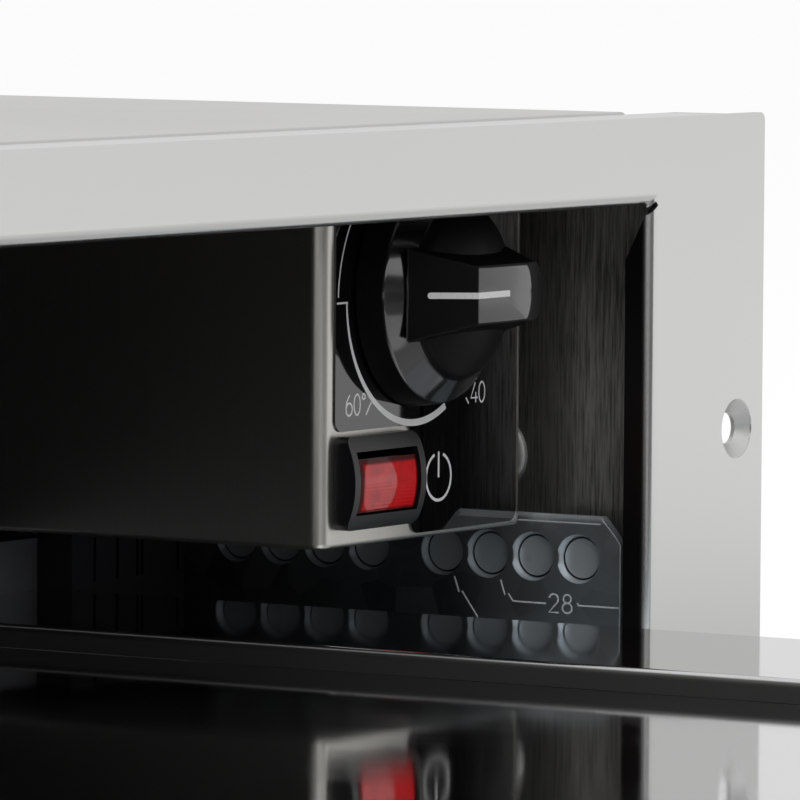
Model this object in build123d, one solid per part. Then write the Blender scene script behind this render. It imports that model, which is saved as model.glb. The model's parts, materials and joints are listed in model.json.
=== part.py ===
"""Built-in warming drawer, seen with its drawer pulled right out.

Millimetres, +Z up. The front faces -Y and +X is to the right of someone facing it.
The origin is the middle of the base's underside. Depths are measured behind the
front plane of the frame's flange. Drawer pieces are drawn where they lie when the
drawer is shut, and opened() then moves them to where the stored pose has them.
"""

import math
import os

from build123d import *

os.makedirs("parts", exist_ok=True)

# ---------------------------------------------------------------- driving sizes
# Front frame: one sheet with a wide side flange and a narrow top and bottom one
frame_width = 595.0
frame_height = 136.0
frame_sheet = 1.2
side_flange = 37.1
top_flange = 14.3
bottom_flange = 14.3
frame_corner_r = 1.4
frame_bend_r = 2.0
return_depth = 11.0
return_inset = 11.0
lip_depth = 5.0
lip_end_start = 3.0
lip_end_cut = 9.2
relief_width = 0.9
relief_reach = 2.2
relief_angle = 42
relief_drop = 1.2

# Pressed seats for the two screws that hold the unit in its housing
seat_inset = 8.6
seat_drop = 52.5
seat_mouth_r = 5.0
seat_depth = 1.9
seat_wall = 0.7
fixing_hole_r = 2.65

# Cabinet body
flange_overhang = 24.6
body_depth = 560.0
body_sheet = 1.2
top_rise = 0.3
top_gap = 1.5
top_nose = 2.0
ceiling_drop = 7.6
ceiling_sheet = 0.8
base_wool = 6.0
liner_sheet = 0.8

# Drawer travel
drawer_open = 400.0

# Slides
slide_setback = 7.2
slide_rear_gap = 14.8
pocket_below_top = 7.2
slide_sheet = 1.5
slide_wall_gap = 8.2
slide_top_drop = 51.8
slide_foot_drop = 97.2
slide_width = 50.0
slide_lip = 8.0
slide_nose_rise = 4.4
slide_nose_run = 3.6
pocket_r = 4.1
pocket_foot_r = 3.62
pocket_depth = 1.45
pocket_ring_r = 3.3
pocket_ring_depth = 0.35
pocket_wall = 1.0
slide_edge_fall = 1.1
slide_edge_step = 0.4
pocket_pitch = 8.8
pocket_first = 8.2
pocket_group = 4
pocket_group_pitch = 41.0
pocket_groups = 2
glide_gap = 0.3
glide_length = 30.0
middle_width = 34.0
middle_height = 12.5
middle_setback = 15.0
middle_rear_gap = 22.2
runner_width = 42.0
runner_height = 16.0
runner_setback = 10.0
runner_drop = 74.7
rail_height = 20.0
rail_rise = 9.5
rail_setback = 12.0
rail_rear_gap = 15.2
slide_screw_first = 131.0
slide_screw_last = 39.0
slide_screw_count = 3

# Drawer tray
tray_side_gap = 35.9
tray_border = 55.0
tray_drop = 65.2
tray_step = 3.7
tray_sheet = 1.0
tray_edge_r = 1.4
tray_rear_gap = 7.0
tray_pan_sheet = 1.0

# Low rail and corner pieces at the tray's rear
corner_inner = 38.5
corner_outer = 5.0
corner_drop = 55.7
corner_inset = 17.0
corner_thick = 7.0
corner_groove = 0.8
corner_groove_depth = 0.6
rail_end = 31.5
rear_rail_height = 8.5
rear_rail_thick = 6.0
rear_rail_end_r = 4.0

# Drawer front
fascia_lift = 1.5
fascia_thick = 20.0
fascia_sheet = 1.2
fascia_edge_r = 1.0
front_gap = 5.0
inner_front_sheet = 1.0
seal_width = 6.0
seal_thick = 4.5
seal_inset = 26.0
seal_end_inset = 4.5
front_wool = 14.0
handle_length = 440.0
handle_r = 6.0
handle_standoff = 34.0
handle_drop = 25.5
post_r = 5.0
post_inset = 40.0
bracket_width = 28.0
bracket_height = 17.0
bracket_foot = 60.0
bracket_sheet = 1.5
bracket_rib = 2.0

# Control box, hung from the cabinet's ceiling at the right
box_left = 60.3
box_right = 1.5
box_bottom_drop = 53.6
box_setback = 25.0
box_depth = 150.0
box_sheet = 1.2
box_bend_r = 2.5
box_foot_r = 0.8

# Glossy film on the control box
film_left = 57.1
film_right = 1.5
film_bottom_drop = 52.7
film_step_drop = 35.0
film_step_x = 34.2
film_thick = 0.3
film_corner_r = 2.0

# Thermostat and its knob
knob_x_in = 33.1
knob_drop = 13.2
knob_gap = 0.5
knob_base_r = 18.9
knob_rim_r = 18.2
knob_rim_h = 5.2
knob_shoulder_r = 14.3
knob_shoulder_h = 8.3
knob_body_h = 9.8
knob_body_r = 13.6
knob_dome_h = 13.5
grip_base_h = 8.0
grip_half_thick = 7.6
grip_half_length = 15.9
grip_end_r = 6.0
grip_draft = 17.0
grip_height = 17.5
grip_ramp_x = 9.2
grip_edge_r = 0.5
crown_r = 4.2
crown_end_x = 2.6
crown_slope = 13.0
knob_hollow_r = 12.0
knob_hollow_h = 4.5
line_width = 1.0
line_depth = 0.25
line_end = 0.4
line_start = 13.9
shaft_r = 3.0
shaft_clear = 0.05
shaft_reach = 10.0
bushing_r = 5.0
bushing_proud = 3.2
nut_across = 14.0
nut_thick = 2.2
thermostat_width = 40.0
thermostat_height = 34.0
thermostat_depth = 26.0
shaft_inside = 15.0

# Rocker switch
switch_x_in = 46.35
switch_drop = 43.2
switch_width = 21.4
switch_height = 15.0
switch_proud = 4.2
switch_crown_r = 15.0
switch_corner_r = 1.6
window_width = 18.2
window_height = 10.2
switch_body_width = 19.0
switch_body_height = 13.0
switch_body_depth = 20.0
switch_wall = 1.2
rocker_gap = 0.25
rocker_sink = 0.5
lens_height = 8.6
lens_thick = 2.0
rocker_rest = 2.0
pivot_r = 1.0
pivot_clear = 0.05
tab_width = 4.8
tab_thick = 0.8
tab_length = 8.0
tab_pitch = 6.0

# Fan heater behind the cavity
chamber_depth = 48.0
cover_sheet = 1.0
inlet_hole_r = 3.0
inlet_pitch = 10.0
inlet_rings = 3
outlet_width = 40.0
outlet_height = 5.0
outlet_pitch = 12.0
outlet_rows = 4
outlet_inset = 96.7
fan_ring_gap = 6.0
fan_behind_cover = 7.0
fan_width = 13.0
fan_disc = 1.0
fan_blades = 12
fan_blade_thick = 0.9
fan_blade_inner_r = 24.0
fan_blade_lean = 30.0
fan_hub_r = 7.0
fan_shaft_r = 2.5
shield_behind_fan = 5.0
shield_sheet = 1.0
shield_half_width = 115.0
shield_hole_r = 8.0
element_wall_gap = 12.2
element_r = 3.25
element_leg_gap = 14.0
element_leg_r = 3.0
element_end_gap = 4.0
element_leg_reach = 20.0
leg_clear = 0.05
clip_width = 6.0
clip_reach = 5.0
motor_r = 30.0
motor_gap = 1.5
motor_ear = 9.0
motor_ear_thick = 2.0
cutout_r = 8.0
cutout_thick = 7.0
cutout_x = 75.0
cutout_drop = 24.4

# Supply side
terminal_inset = 47.9
terminal_z = 70.0
terminal_width = 44.0
terminal_height = 20.0
terminal_depth = 16.0
terminal_count = 3
terminal_screw_r = 2.5
inlet_z = 30.0
inlet_bore_r = 4.2
inlet_body_r = 7.0
inlet_flange_r = 9.5
inlet_flange = 2.5
inlet_inside = 8.0
vent_width = 26.0
vent_height = 3.0
vent_pitch = 7.0
vent_count = 5
vent_inset = 122.9

# Small fastenings
screw_head_r = 3.8
screw_head_h = 2.4
screw_slot = 0.9
screw_slot_deep = 1.0

# ---------------------------------------------------------------- derived places
front_y = -body_depth / 2
open_half = frame_width / 2 - side_flange
open_top = frame_height - top_flange
body_half = frame_width / 2 - flange_overhang
wall_x = body_half - body_sheet
back_y = front_y + body_depth
back_in_y = back_y - body_sheet
side_top = frame_height - frame_sheet
top_z = frame_height + top_rise
ceiling_z = frame_height - ceiling_drop
wool_top = body_sheet + base_wool
liner_top = wool_top + liner_sheet
plate_x = wall_x - slide_wall_gap
slide_top = open_top - slide_top_drop
slide_foot_z = open_top - slide_foot_drop
runner_top = open_top - runner_drop
rail_z = slide_foot_z + rail_rise
tray_top = open_top - tray_drop
corner_top = open_top - corner_drop
handle_z = fascia_lift + frame_height - handle_drop
slide_mid_x = plate_x - slide_width / 2 - slide_sheet / 2
foot_top = slide_foot_z + slide_sheet
pocket_z = slide_top - pocket_below_top
middle_z = foot_top + glide_gap + slide_sheet
middle_top = middle_z + middle_height
glide_top = runner_top - slide_sheet
cover_y = back_y - chamber_depth
fan_y = cover_y + fan_behind_cover
fan_z = (liner_top + ceiling_z) / 2
element_ring_r = (ceiling_z - liner_top) / 2 - element_wall_gap
fan_r = element_ring_r - fan_ring_gap
cutout_z = ceiling_z - cutout_drop
shield_y = fan_y + fan_width + shield_behind_fan
outlet_x = wall_x - outlet_inset
vent_x = body_half - vent_inset
terminal_x = -body_half + terminal_inset
inlet_x = terminal_x
slide_y = front_y + slide_setback
slide_back_y = cover_y - slide_rear_gap
middle_y = front_y + middle_setback
middle_back_y = slide_back_y - middle_rear_gap
rail_y = front_y + rail_setback
rail_back_y = slide_back_y - rail_rear_gap
tray_half_width = open_half - tray_side_gap
tray_y = front_y - front_gap
tray_back_y = cover_y - tray_rear_gap
corner_y = tray_back_y - corner_inset
runner_y = front_y + runner_setback
runner_back_y = corner_y + corner_thick
knob_x = open_half - knob_x_in
knob_z = open_top - knob_drop
panel_y = front_y + box_setback
film_y = panel_y - film_thick
switch_x = open_half - switch_x_in
switch_z = open_top - switch_drop
rocker_r = switch_crown_r - rocker_sink
pivot_y = panel_y - switch_proud + switch_crown_r
fascia_back_y = front_y - front_gap - inner_front_sheet


# ---------------------------------------------------------------- helpers
def block(x0, x1, y0, y1, z0, z1):
    """Box between two corners."""
    middle = Pos((x0 + x1) / 2, (y0 + y1) / 2, (z0 + z1) / 2)
    return middle * Box(abs(x1 - x0), abs(y1 - y0), abs(z1 - z0))


def rod(radius, start, end):
    """Round bar from one point to another."""
    axis = Vector(*end) - Vector(*start)
    return Plane(origin=start, z_dir=axis) * Cylinder(
        radius, axis.length, align=(Align.CENTER, Align.CENTER, Align.MIN)
    )


def taper(radius_a, radius_b, start, end):
    """Cone frustum from one point to another."""
    axis = Vector(*end) - Vector(*start)
    return Plane(origin=start, z_dir=axis) * Cone(
        radius_a, radius_b, axis.length, align=(Align.CENTER, Align.CENTER, Align.MIN)
    )


def prism_x(points, x0, x1):
    """Outline of (y, z) points carried along X."""
    outline = make_face(Polyline(*[(x0, y, z) for y, z in points], close=True))
    return extrude(outline, amount=x1 - x0, dir=(1, 0, 0))


def prism_y(points, y0, y1):
    """Outline of (x, z) points carried along Y."""
    outline = make_face(Polyline(*[(x, y0, z) for x, z in points], close=True))
    return extrude(outline, amount=y1 - y0, dir=(0, 1, 0))


def depth(distance):
    """Y of a place this far behind the front plane of the flange."""
    return front_y + distance


def opened(shape, share=1.0):
    """Move a piece drawn in the shut drawer to where the open drawer has it."""
    return Pos(0, -drawer_open * share, 0) * shape


def left(shape):
    """The left-hand twin of a right-hand piece."""
    return mirror(shape, about=Plane.YZ)


def group(solids):
    """Several solids kept apart in one piece."""
    return Compound(children=list(solids))


def edges_on(shape, axis, *tests):
    """Straight edges along an axis whose middle passes every test."""
    picked = shape.edges().filter_by(axis)
    return [edge for edge in picked if all(test(edge.center()) for test in tests)]


def near(value, target):
    return abs(value - target) < 0.01


def pan_head(x, y, z, direction):
    """Cross-slotted screw head whose flat side sits on (x, y, z)."""
    tip = Vector(x, y, z) + Vector(*direction) * screw_head_h
    head = rod(screw_head_r, (x, y, z), tuple(tip))
    reach = screw_head_r * 0.7
    slot_mid = tip - Vector(*direction) * (screw_slot_deep / 2)
    seat = Plane(origin=tuple(slot_mid), z_dir=direction)
    for size in ((2 * reach, screw_slot), (screw_slot, 2 * reach)):
        head -= seat * Box(size[0], size[1], screw_slot_deep)
    return head


# ---------------------------------------------------------------- cabinet
def fixing_seat(side):
    """Pressed screw seat in a side flange, and what is cut out of it."""
    x = side * (frame_width / 2 - seat_inset)
    z = frame_height - seat_drop
    floor = seat_depth + seat_wall
    boss = taper(
        seat_mouth_r + seat_wall,
        fixing_hole_r + seat_wall,
        (x, front_y + frame_sheet / 2, z),
        (x, front_y + floor, z),
    )
    mouth = taper(
        seat_mouth_r, fixing_hole_r, (x, front_y, z), (x, front_y + seat_depth, z)
    )
    hole = rod(fixing_hole_r, (x, front_y, z), (x, front_y + floor, z))
    return boss, mouth + hole


def make_corner_relief(side, corner_x, way, corner_z):
    """Slit just inside a corner of the opening, where its two lips part."""
    lean = math.radians(relief_angle)
    plane = Plane(
        origin=(corner_x, front_y - 1, corner_z + way * relief_drop),
        x_dir=(side * math.cos(lean), 0, -way * math.sin(lean)),
        z_dir=(0, 1, 0),
    )
    slit = plane * Rectangle(2 * relief_reach, relief_width)
    return extrude(slit, lip_depth + 2)


def make_front_frame():
    half = frame_width / 2
    plate = block(-half, half, front_y, front_y + frame_sheet, 0, frame_height)
    plate = fillet(plate.edges().filter_by(Axis.Y), frame_corner_r)
    return_half = half - return_inset
    for z0 in (0, side_top):
        plate += block(
            -return_half,
            return_half,
            front_y,
            depth(return_depth),
            z0,
            z0 + frame_sheet,
        )
    inner_back = depth(lip_depth)
    collar = block(
        -open_half - frame_sheet,
        open_half + frame_sheet,
        front_y,
        inner_back,
        bottom_flange - frame_sheet,
        open_top + frame_sheet,
    )
    frame = plate + collar
    frame -= block(
        -open_half, open_half, front_y - 1, inner_back + 1, bottom_flange, open_top
    )
    on_front = lambda c: near(c.Y, front_y)
    rims = edges_on(frame, Axis.Z, on_front, lambda c: near(abs(c.X), open_half))
    rims += edges_on(
        frame,
        Axis.X,
        on_front,
        lambda c: near(c.Z, open_top) or near(c.Z, bottom_flange),
    )
    frame = fillet(rims, frame_bend_r)
    for side in (-1, 1):
        corner_x = side * open_half
        outer_x = side * (open_half + 2 * frame_sheet)
        for z, way in ((open_top, -1), (bottom_flange, 1)):
            frame -= prism_x(
                [
                    (front_y + frame_sheet, z - way * frame_sheet * 2),
                    (front_y + frame_sheet, z + way * lip_end_start / 2),
                    (front_y + frame_bend_r, z + way * lip_end_start),
                    (inner_back, z + way * lip_end_cut),
                    (inner_back + 1, z + way * lip_end_cut),
                    (inner_back + 1, z - way * frame_sheet * 2),
                ],
                corner_x - side * frame_sheet * 2,
                outer_x,
            )
            frame -= make_corner_relief(side, corner_x, way, z)
        boss, recess = fixing_seat(side)
        frame = frame + boss - recess
    return frame


def make_side_panel():
    """Right-hand wall with its front edge folded in behind the flange."""
    seam = front_y + frame_sheet
    wall = block(wall_x, body_half, seam, back_in_y, body_sheet, side_top)
    fold = block(
        open_half + 2 * frame_sheet,
        wall_x,
        seam,
        seam + body_sheet,
        body_sheet,
        side_top,
    )
    return wall + fold


def make_top_panel():
    nose_y = depth(return_depth + top_gap)
    sheet = block(
        -body_half, body_half, nose_y, back_in_y, top_z - body_sheet, top_z
    )
    nose = block(
        -body_half,
        body_half,
        nose_y,
        nose_y + body_sheet,
        top_z - body_sheet - top_nose,
        top_z - body_sheet,
    )
    nose = nose & block(
        -wall_x + body_sheet, wall_x - body_sheet, nose_y, back_in_y, 0, top_z
    )
    panel = sheet + nose
    for side in (-1, 1):
        panel += block(
            side * wall_x,
            side * body_half,
            nose_y,
            back_in_y,
            side_top,
            top_z - body_sheet,
        )
    nose_edge = edges_on(
        panel, Axis.X, lambda c: near(c.Z, top_z), lambda c: near(c.Y, nose_y)
    )
    return fillet(nose_edge, body_sheet * 0.8)


def make_base_pan():
    front = depth(return_depth + top_gap)
    return block(-body_half, body_half, front, back_in_y, 0, body_sheet)


def make_rear_panel():
    panel = block(-body_half, body_half, back_in_y, back_y, 0, top_z)
    panel -= rod(inlet_body_r, (inlet_x, back_in_y, inlet_z), (inlet_x, back_y, inlet_z))
    first_z = fan_z - vent_pitch * (vent_count - 1) / 2
    for side in (-1, 1):
        for row in range(vent_count):
            z = first_z + row * vent_pitch
            x = side * vent_x
            slot = block(
                x - vent_width / 2,
                x + vent_width / 2,
                back_in_y - 1,
                back_y + 1,
                z - vent_height / 2,
                z + vent_height / 2,
            )
            panel -= fillet(slot.edges().filter_by(Axis.Y), vent_height * 0.45)
    return panel


def make_ceiling_panel():
    return block(
        -wall_x, wall_x, depth(lip_depth), back_in_y, ceiling_z, ceiling_z + ceiling_sheet
    )


def make_ceiling_wool():
    return block(
        -wall_x + body_sheet,
        wall_x - body_sheet,
        depth(return_depth + top_gap + 2 * body_sheet),
        back_in_y,
        ceiling_z + ceiling_sheet,
        top_z - body_sheet,
    )


def make_base_wool():
    front = depth(return_depth + top_gap)
    return block(-wall_x, wall_x, front, back_in_y, body_sheet, wool_top)


def make_floor_liner():
    seam = depth(frame_sheet + body_sheet)
    return block(-wall_x, wall_x, seam, back_in_y, wool_top, liner_top)


# ---------------------------------------------------------------- slides
def make_slide_cabinet():
    """Right-hand fixed member: tall plate with pressed pockets, and its foot."""
    y0 = slide_y
    y1 = slide_back_y
    nose = [
        (y1, slide_foot_z),
        (y0, slide_foot_z),
        (y0, slide_top - slide_nose_rise),
        (y0 + slide_nose_run * 0.3, slide_top - slide_nose_rise * 0.65),
        (y0 + slide_nose_run, slide_top),
        (y1, slide_top),
    ]
    member = prism_x(nose, plate_x, plate_x + slide_sheet)
    member -= prism_y(
        [
            (plate_x, slide_top - slide_edge_fall),
            (plate_x + slide_edge_step, slide_top),
            (plate_x, slide_top),
        ],
        y0,
        y1,
    )
    inner_x = plate_x - slide_width
    member += block(inner_x, plate_x, y0, y1, slide_foot_z, foot_top)
    member += block(
        inner_x, inner_x + slide_sheet, y0, y1, foot_top, foot_top + slide_lip
    )
    floor_x = plate_x + pocket_depth
    for place in range(pocket_groups):
        for number in range(pocket_group):
            y = y0 + pocket_first + place * pocket_group_pitch + number * pocket_pitch
            cup = taper(
                pocket_r + pocket_wall,
                pocket_foot_r + pocket_wall,
                (plate_x, y, pocket_z),
                (floor_x + pocket_wall, y, pocket_z),
            )
            hole = taper(pocket_r, pocket_foot_r, (plate_x, y, pocket_z), (floor_x, y, pocket_z))
            ring_end = (floor_x + pocket_ring_depth, y, pocket_z)
            ring = rod(pocket_foot_r, (floor_x - 0.1, y, pocket_z), ring_end)
            ring -= rod(pocket_ring_r, (floor_x - 1, y, pocket_z), (floor_x + 1, y, pocket_z))
            member = member + cup - hole - ring
    return member


def make_slide_rail():
    """Folded rail that carries the slide off the right-hand wall."""
    inner = plate_x + slide_sheet
    rail = block(inner, wall_x, rail_y, rail_back_y, rail_z, rail_z + rail_height)
    return rail - block(
        inner + body_sheet,
        wall_x + 1,
        rail_y - 1,
        rail_back_y + 1,
        rail_z + body_sheet,
        rail_z + rail_height - body_sheet,
    )


def make_slide_screws():
    z = rail_z + rail_height / 2
    first = rail_y + slide_screw_first
    pitch = (rail_back_y - slide_screw_last - first) / (slide_screw_count - 1)
    heads = []
    for number in range(slide_screw_count):
        y = first + number * pitch
        heads.append(pan_head(plate_x, y, z, (-1, 0, 0)))
    return group(heads)


def channel(width, top, height, y0, y1):
    """Channel with its open side down, centred over the slide's foot."""
    x0 = slide_mid_x - width / 2
    x1 = slide_mid_x + width / 2
    shape = block(x0, x1, y0, y1, top - height, top)
    return shape - block(
        x0 + slide_sheet,
        x1 - slide_sheet,
        y0 - 1,
        y1 + 1,
        top - height - 1,
        top - slide_sheet,
    )


def make_slide_middle():
    return channel(middle_width, middle_top, middle_height, middle_y, middle_back_y)


def make_slide_runner():
    return channel(runner_width, runner_top, runner_height, runner_y, runner_back_y)


def glide_starts(y0, y1):
    """Front, middle and rear places for glides along a slide member."""
    return (y0, (y0 + y1 - glide_length) / 2, y1 - glide_length)


def make_middle_glides():
    """Nylon blocks inside the middle member that ride on the foot."""
    half = middle_width / 2 - slide_sheet
    blocks = []
    for y in glide_starts(middle_y, middle_back_y):
        blocks.append(
            block(
                slide_mid_x - half,
                slide_mid_x + half,
                y,
                y + glide_length,
                foot_top + glide_gap,
                middle_top - slide_sheet,
            )
        )
    return group(blocks)


def make_runner_glides():
    """Nylon saddles inside the runner that ride on the middle member."""
    outer = runner_width / 2 - slide_sheet
    inner = middle_width / 2 + glide_gap
    saddles = []
    for y in glide_starts(runner_y, runner_back_y):
        saddle = block(
            slide_mid_x - outer,
            slide_mid_x + outer,
            y,
            y + glide_length,
            runner_top - runner_height + slide_sheet,
            glide_top,
        )
        saddles.append(
            saddle
            - block(
                slide_mid_x - inner,
                slide_mid_x + inner,
                y - 1,
                y + glide_length + 1,
                0,
                middle_top + glide_gap,
            )
        )
    return group(saddles)


# ---------------------------------------------------------------- tray
def make_tray_deck():
    """Polished deck: a raised border on both sides of a sunk floor."""
    y0 = tray_y
    y1 = tray_back_y
    half = tray_half_width
    floor_half = half - tray_border
    deck = block(-half, half, y0, y1, runner_top, tray_top)
    deck -= block(
        -floor_half, floor_half, y0 - 1, y1 + 1, tray_top - tray_step, tray_top + 1
    )
    rims = edges_on(
        deck,
        Axis.Y,
        lambda c: near(c.Z, tray_top),
        lambda c: near(abs(c.X), half) or near(abs(c.X), floor_half),
    )
    deck = fillet(rims, tray_edge_r)
    for side in (-1, 1):
        deck -= block(
            side * (floor_half + tray_sheet),
            side * (half - tray_sheet),
            y0 + tray_sheet,
            y1 - tray_sheet,
            runner_top - 1,
            tray_top - tray_sheet,
        )
    deck -= block(
        -floor_half - tray_sheet - 1,
        floor_half + tray_sheet + 1,
        y0 + tray_sheet,
        y1 - tray_sheet,
        runner_top - 1,
        tray_top - tray_step - tray_sheet,
    )
    return deck


def make_tray_pan():
    half = tray_half_width - tray_sheet
    return block(
        -half,
        half,
        tray_y + tray_sheet,
        tray_back_y - tray_sheet,
        runner_top,
        runner_top + tray_pan_sheet,
    )


def make_tray_board():
    """Stiff insulating board between the pan and the sunk floor."""
    half = tray_half_width - tray_border - tray_sheet
    return block(
        -half,
        half,
        tray_y + tray_sheet,
        tray_back_y - tray_sheet,
        runner_top + tray_pan_sheet,
        tray_top - tray_step - tray_sheet,
    )


def make_rear_corner():
    """Right-hand plastic corner piece that stands on the runner's rear end."""
    x0 = open_half - corner_inner
    x1 = open_half - corner_outer
    y0 = corner_y
    piece = block(x0, x1, y0, y0 + corner_thick, tray_top, corner_top)
    piece += block(tray_half_width, x1, y0, y0 + corner_thick, runner_top, tray_top)
    for share in (0.2, 0.4, 0.58, 0.62, 0.94):
        x = x0 + share * (x1 - x0)
        piece -= block(
            x - corner_groove / 2,
            x + corner_groove / 2,
            y0 - 1,
            y0 + corner_groove_depth,
            tray_top + 1,
            corner_top - 1,
        )
    return piece


def make_rear_rail():
    """Low rail across the tray's rear, with rounded ends."""
    half = open_half - rail_end
    y0 = corner_y + corner_thick
    rail = block(
        -half, half, y0, y0 + rear_rail_thick, tray_top, tray_top + rear_rail_height
    )
    inside = edges_on(
        rail, Axis.Y, lambda c: near(c.Z, tray_top + rear_rail_height)
    )
    return fillet(inside, rear_rail_end_r)


# ---------------------------------------------------------------- drawer front
def make_fascia():
    half = frame_width / 2
    y1 = fascia_back_y + inner_front_sheet
    y0 = y1 - fascia_thick
    top = fascia_lift + frame_height
    shell = block(-half, half, y0, y1, fascia_lift, top)
    outer = [edge for edge in shell.edges() if not near(edge.center().Y, y1)]
    shell = fillet(outer, fascia_edge_r)
    return shell - block(
        -half + fascia_sheet,
        half - fascia_sheet,
        y0 + fascia_sheet,
        y1 + 1,
        fascia_lift + fascia_sheet,
        top - fascia_sheet,
    )


def make_inner_front():
    half = frame_width / 2 - fascia_sheet
    return block(
        -half,
        half,
        fascia_back_y,
        fascia_back_y + inner_front_sheet,
        fascia_lift + fascia_sheet,
        fascia_lift + frame_height - fascia_sheet,
    )


def make_front_wool():
    half = frame_width / 2 - fascia_sheet
    return block(
        -half,
        half,
        fascia_back_y - front_wool,
        fascia_back_y,
        fascia_lift + fascia_sheet,
        fascia_lift + frame_height - fascia_sheet,
    )


def make_front_seal():
    """Rubber frame on the drawer front that meets the cabinet's flange."""
    face = fascia_back_y + inner_front_sheet
    half = frame_width / 2 - seal_inset
    low = seal_end_inset
    high = frame_height - seal_end_inset
    ring = block(-half, half, face, face + seal_thick, low, high)
    return ring - block(
        -half + seal_width,
        half - seal_width,
        face - 1,
        face + seal_thick + 1,
        low + seal_width,
        high - seal_width,
    )


def handle_y():
    return fascia_back_y + inner_front_sheet - fascia_thick - handle_standoff


def make_handle_bar():
    half = handle_length / 2
    y = handle_y()
    bar = rod(handle_r, (-half, y, handle_z), (half, y, handle_z))
    return fillet(bar.edges().filter_by(GeomType.CIRCLE), handle_r * 0.2)


def make_handle_posts():
    y = handle_y()
    face = fascia_back_y + inner_front_sheet - fascia_thick
    bar = rod(
        handle_r, (-handle_length, y, handle_z), (handle_length, y, handle_z)
    )
    posts = []
    for side in (-1, 1):
        x = side * (handle_length / 2 - post_inset)
        posts.append(rod(post_r, (x, y, handle_z), (x, face, handle_z)) - bar)
    return group(posts)


def make_front_bracket():
    """Right-hand bracket between the runner and the drawer front."""
    face = fascia_back_y + inner_front_sheet
    x0 = tray_half_width + bracket_sheet
    x1 = x0 + bracket_width
    upright_top = runner_top + bracket_height
    foot_end = runner_y + bracket_foot
    bracket = block(x0, x1, face, foot_end, runner_top, runner_top + bracket_sheet)
    bracket += block(x0, x1, face, face + bracket_sheet, runner_top, upright_top)
    return bracket + prism_x(
        [
            (face, runner_top),
            (face, upright_top),
            (face + bracket_sheet, upright_top),
            (foot_end - bracket_sheet, runner_top + bracket_sheet),
            (foot_end - bracket_sheet, runner_top),
        ],
        x0,
        x0 + bracket_rib,
    )


def make_bracket_screws():
    """Screw heads on both brackets: two down into each runner."""
    x = tray_half_width + bracket_sheet + bracket_width / 2
    heads = []
    for side in (-1, 1):
        for share in (0.35, 0.8):
            y = runner_y + bracket_foot * share
            heads.append(
                pan_head(side * x, y, runner_top + bracket_sheet, (0, 0, 1))
            )
    return group(heads)


# ---------------------------------------------------------------- control box
def make_control_box():
    x0 = open_half - box_left
    x1 = open_half + box_right
    z0 = open_top - box_bottom_drop
    y1 = panel_y + box_depth
    box = block(x0, x1, panel_y, y1, z0, ceiling_z)
    box = fillet(
        edges_on(box, Axis.Z, lambda c: near(c.Y, panel_y)), box_bend_r
    )
    foot = edges_on(
        box, Axis.X, lambda c: near(c.Z, z0), lambda c: near(c.Y, panel_y)
    )
    box = fillet(foot, box_foot_r)
    box -= block(
        x0 + box_sheet,
        x1 - box_sheet,
        panel_y + box_sheet,
        y1 - box_sheet,
        z0 + box_sheet,
        ceiling_z + 1,
    )
    box -= rod(bushing_r, (knob_x, panel_y - 1, knob_z), (knob_x, panel_y + 5, knob_z))
    half_w = switch_body_width / 2
    half_h = switch_body_height / 2
    return box - block(
        switch_x - half_w,
        switch_x + half_w,
        panel_y - 1,
        panel_y + 5,
        switch_z - half_h,
        switch_z + half_h,
    )


def make_control_film():
    """Glossy film with a step that leaves the switch on bare steel."""
    x0 = open_half - film_left
    x1 = open_half - film_right
    step_x = open_half - film_step_x
    low = open_top - film_bottom_drop
    step_z = open_top - film_step_drop
    top = ceiling_z - 1
    film = prism_y(
        [(x0, top), (x1, top), (x1, low), (step_x, low), (step_x, step_z), (x0, step_z)],
        film_y,
        panel_y,
    )
    film = fillet(film.edges().filter_by(Axis.Y), film_corner_r)
    return film - rod(bushing_r, (knob_x, film_y - 1, knob_z), (knob_x, panel_y + 1, knob_z))


def make_thermostat_body():
    """Thermostat behind the panel with its threaded bushing through it."""
    inner = panel_y + box_sheet
    half_w = thermostat_width / 2
    half_h = thermostat_height / 2
    low = max(knob_z - half_h, open_top - box_bottom_drop + box_sheet)
    body = block(
        knob_x - half_w * 0.9,
        knob_x + half_w,
        inner,
        inner + thermostat_depth,
        low,
        min(knob_z + half_h, ceiling_z - 1),
    )
    body += rod(
        bushing_r, (knob_x, film_y - bushing_proud, knob_z), (knob_x, inner, knob_z)
    )
    return body - rod(
        shaft_r + shaft_clear,
        (knob_x, film_y - bushing_proud - 1, knob_z),
        (knob_x, inner + shaft_inside, knob_z),
    )


def make_thermostat_nut():
    y = film_y - nut_thick
    seat = Plane(origin=(knob_x, y, knob_z), x_dir=(1, 0, 0), z_dir=(0, 1, 0))
    nut = extrude(
        seat * RegularPolygon(nut_across / 2, 6, major_radius=False), nut_thick
    )
    return nut - rod(bushing_r, (knob_x, y - 1, knob_z), (knob_x, film_y + 1, knob_z))


def knob_face(height):
    """Y of a place this far in front of the film."""
    return film_y - height


def knob_plane(height):
    """Plane across the knob at a height above the film, facing its front."""
    return Plane(origin=(0, -height, 0), x_dir=(1, 0, 0), z_dir=(0, -1, 0))


def ramp_height(x):
    """Height of the pointer end's ramp, at this X from the knob's centre."""
    slope = (grip_height - grip_base_h) / (grip_half_length - grip_ramp_x)
    return grip_height + slope * (x + grip_ramp_x)


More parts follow.
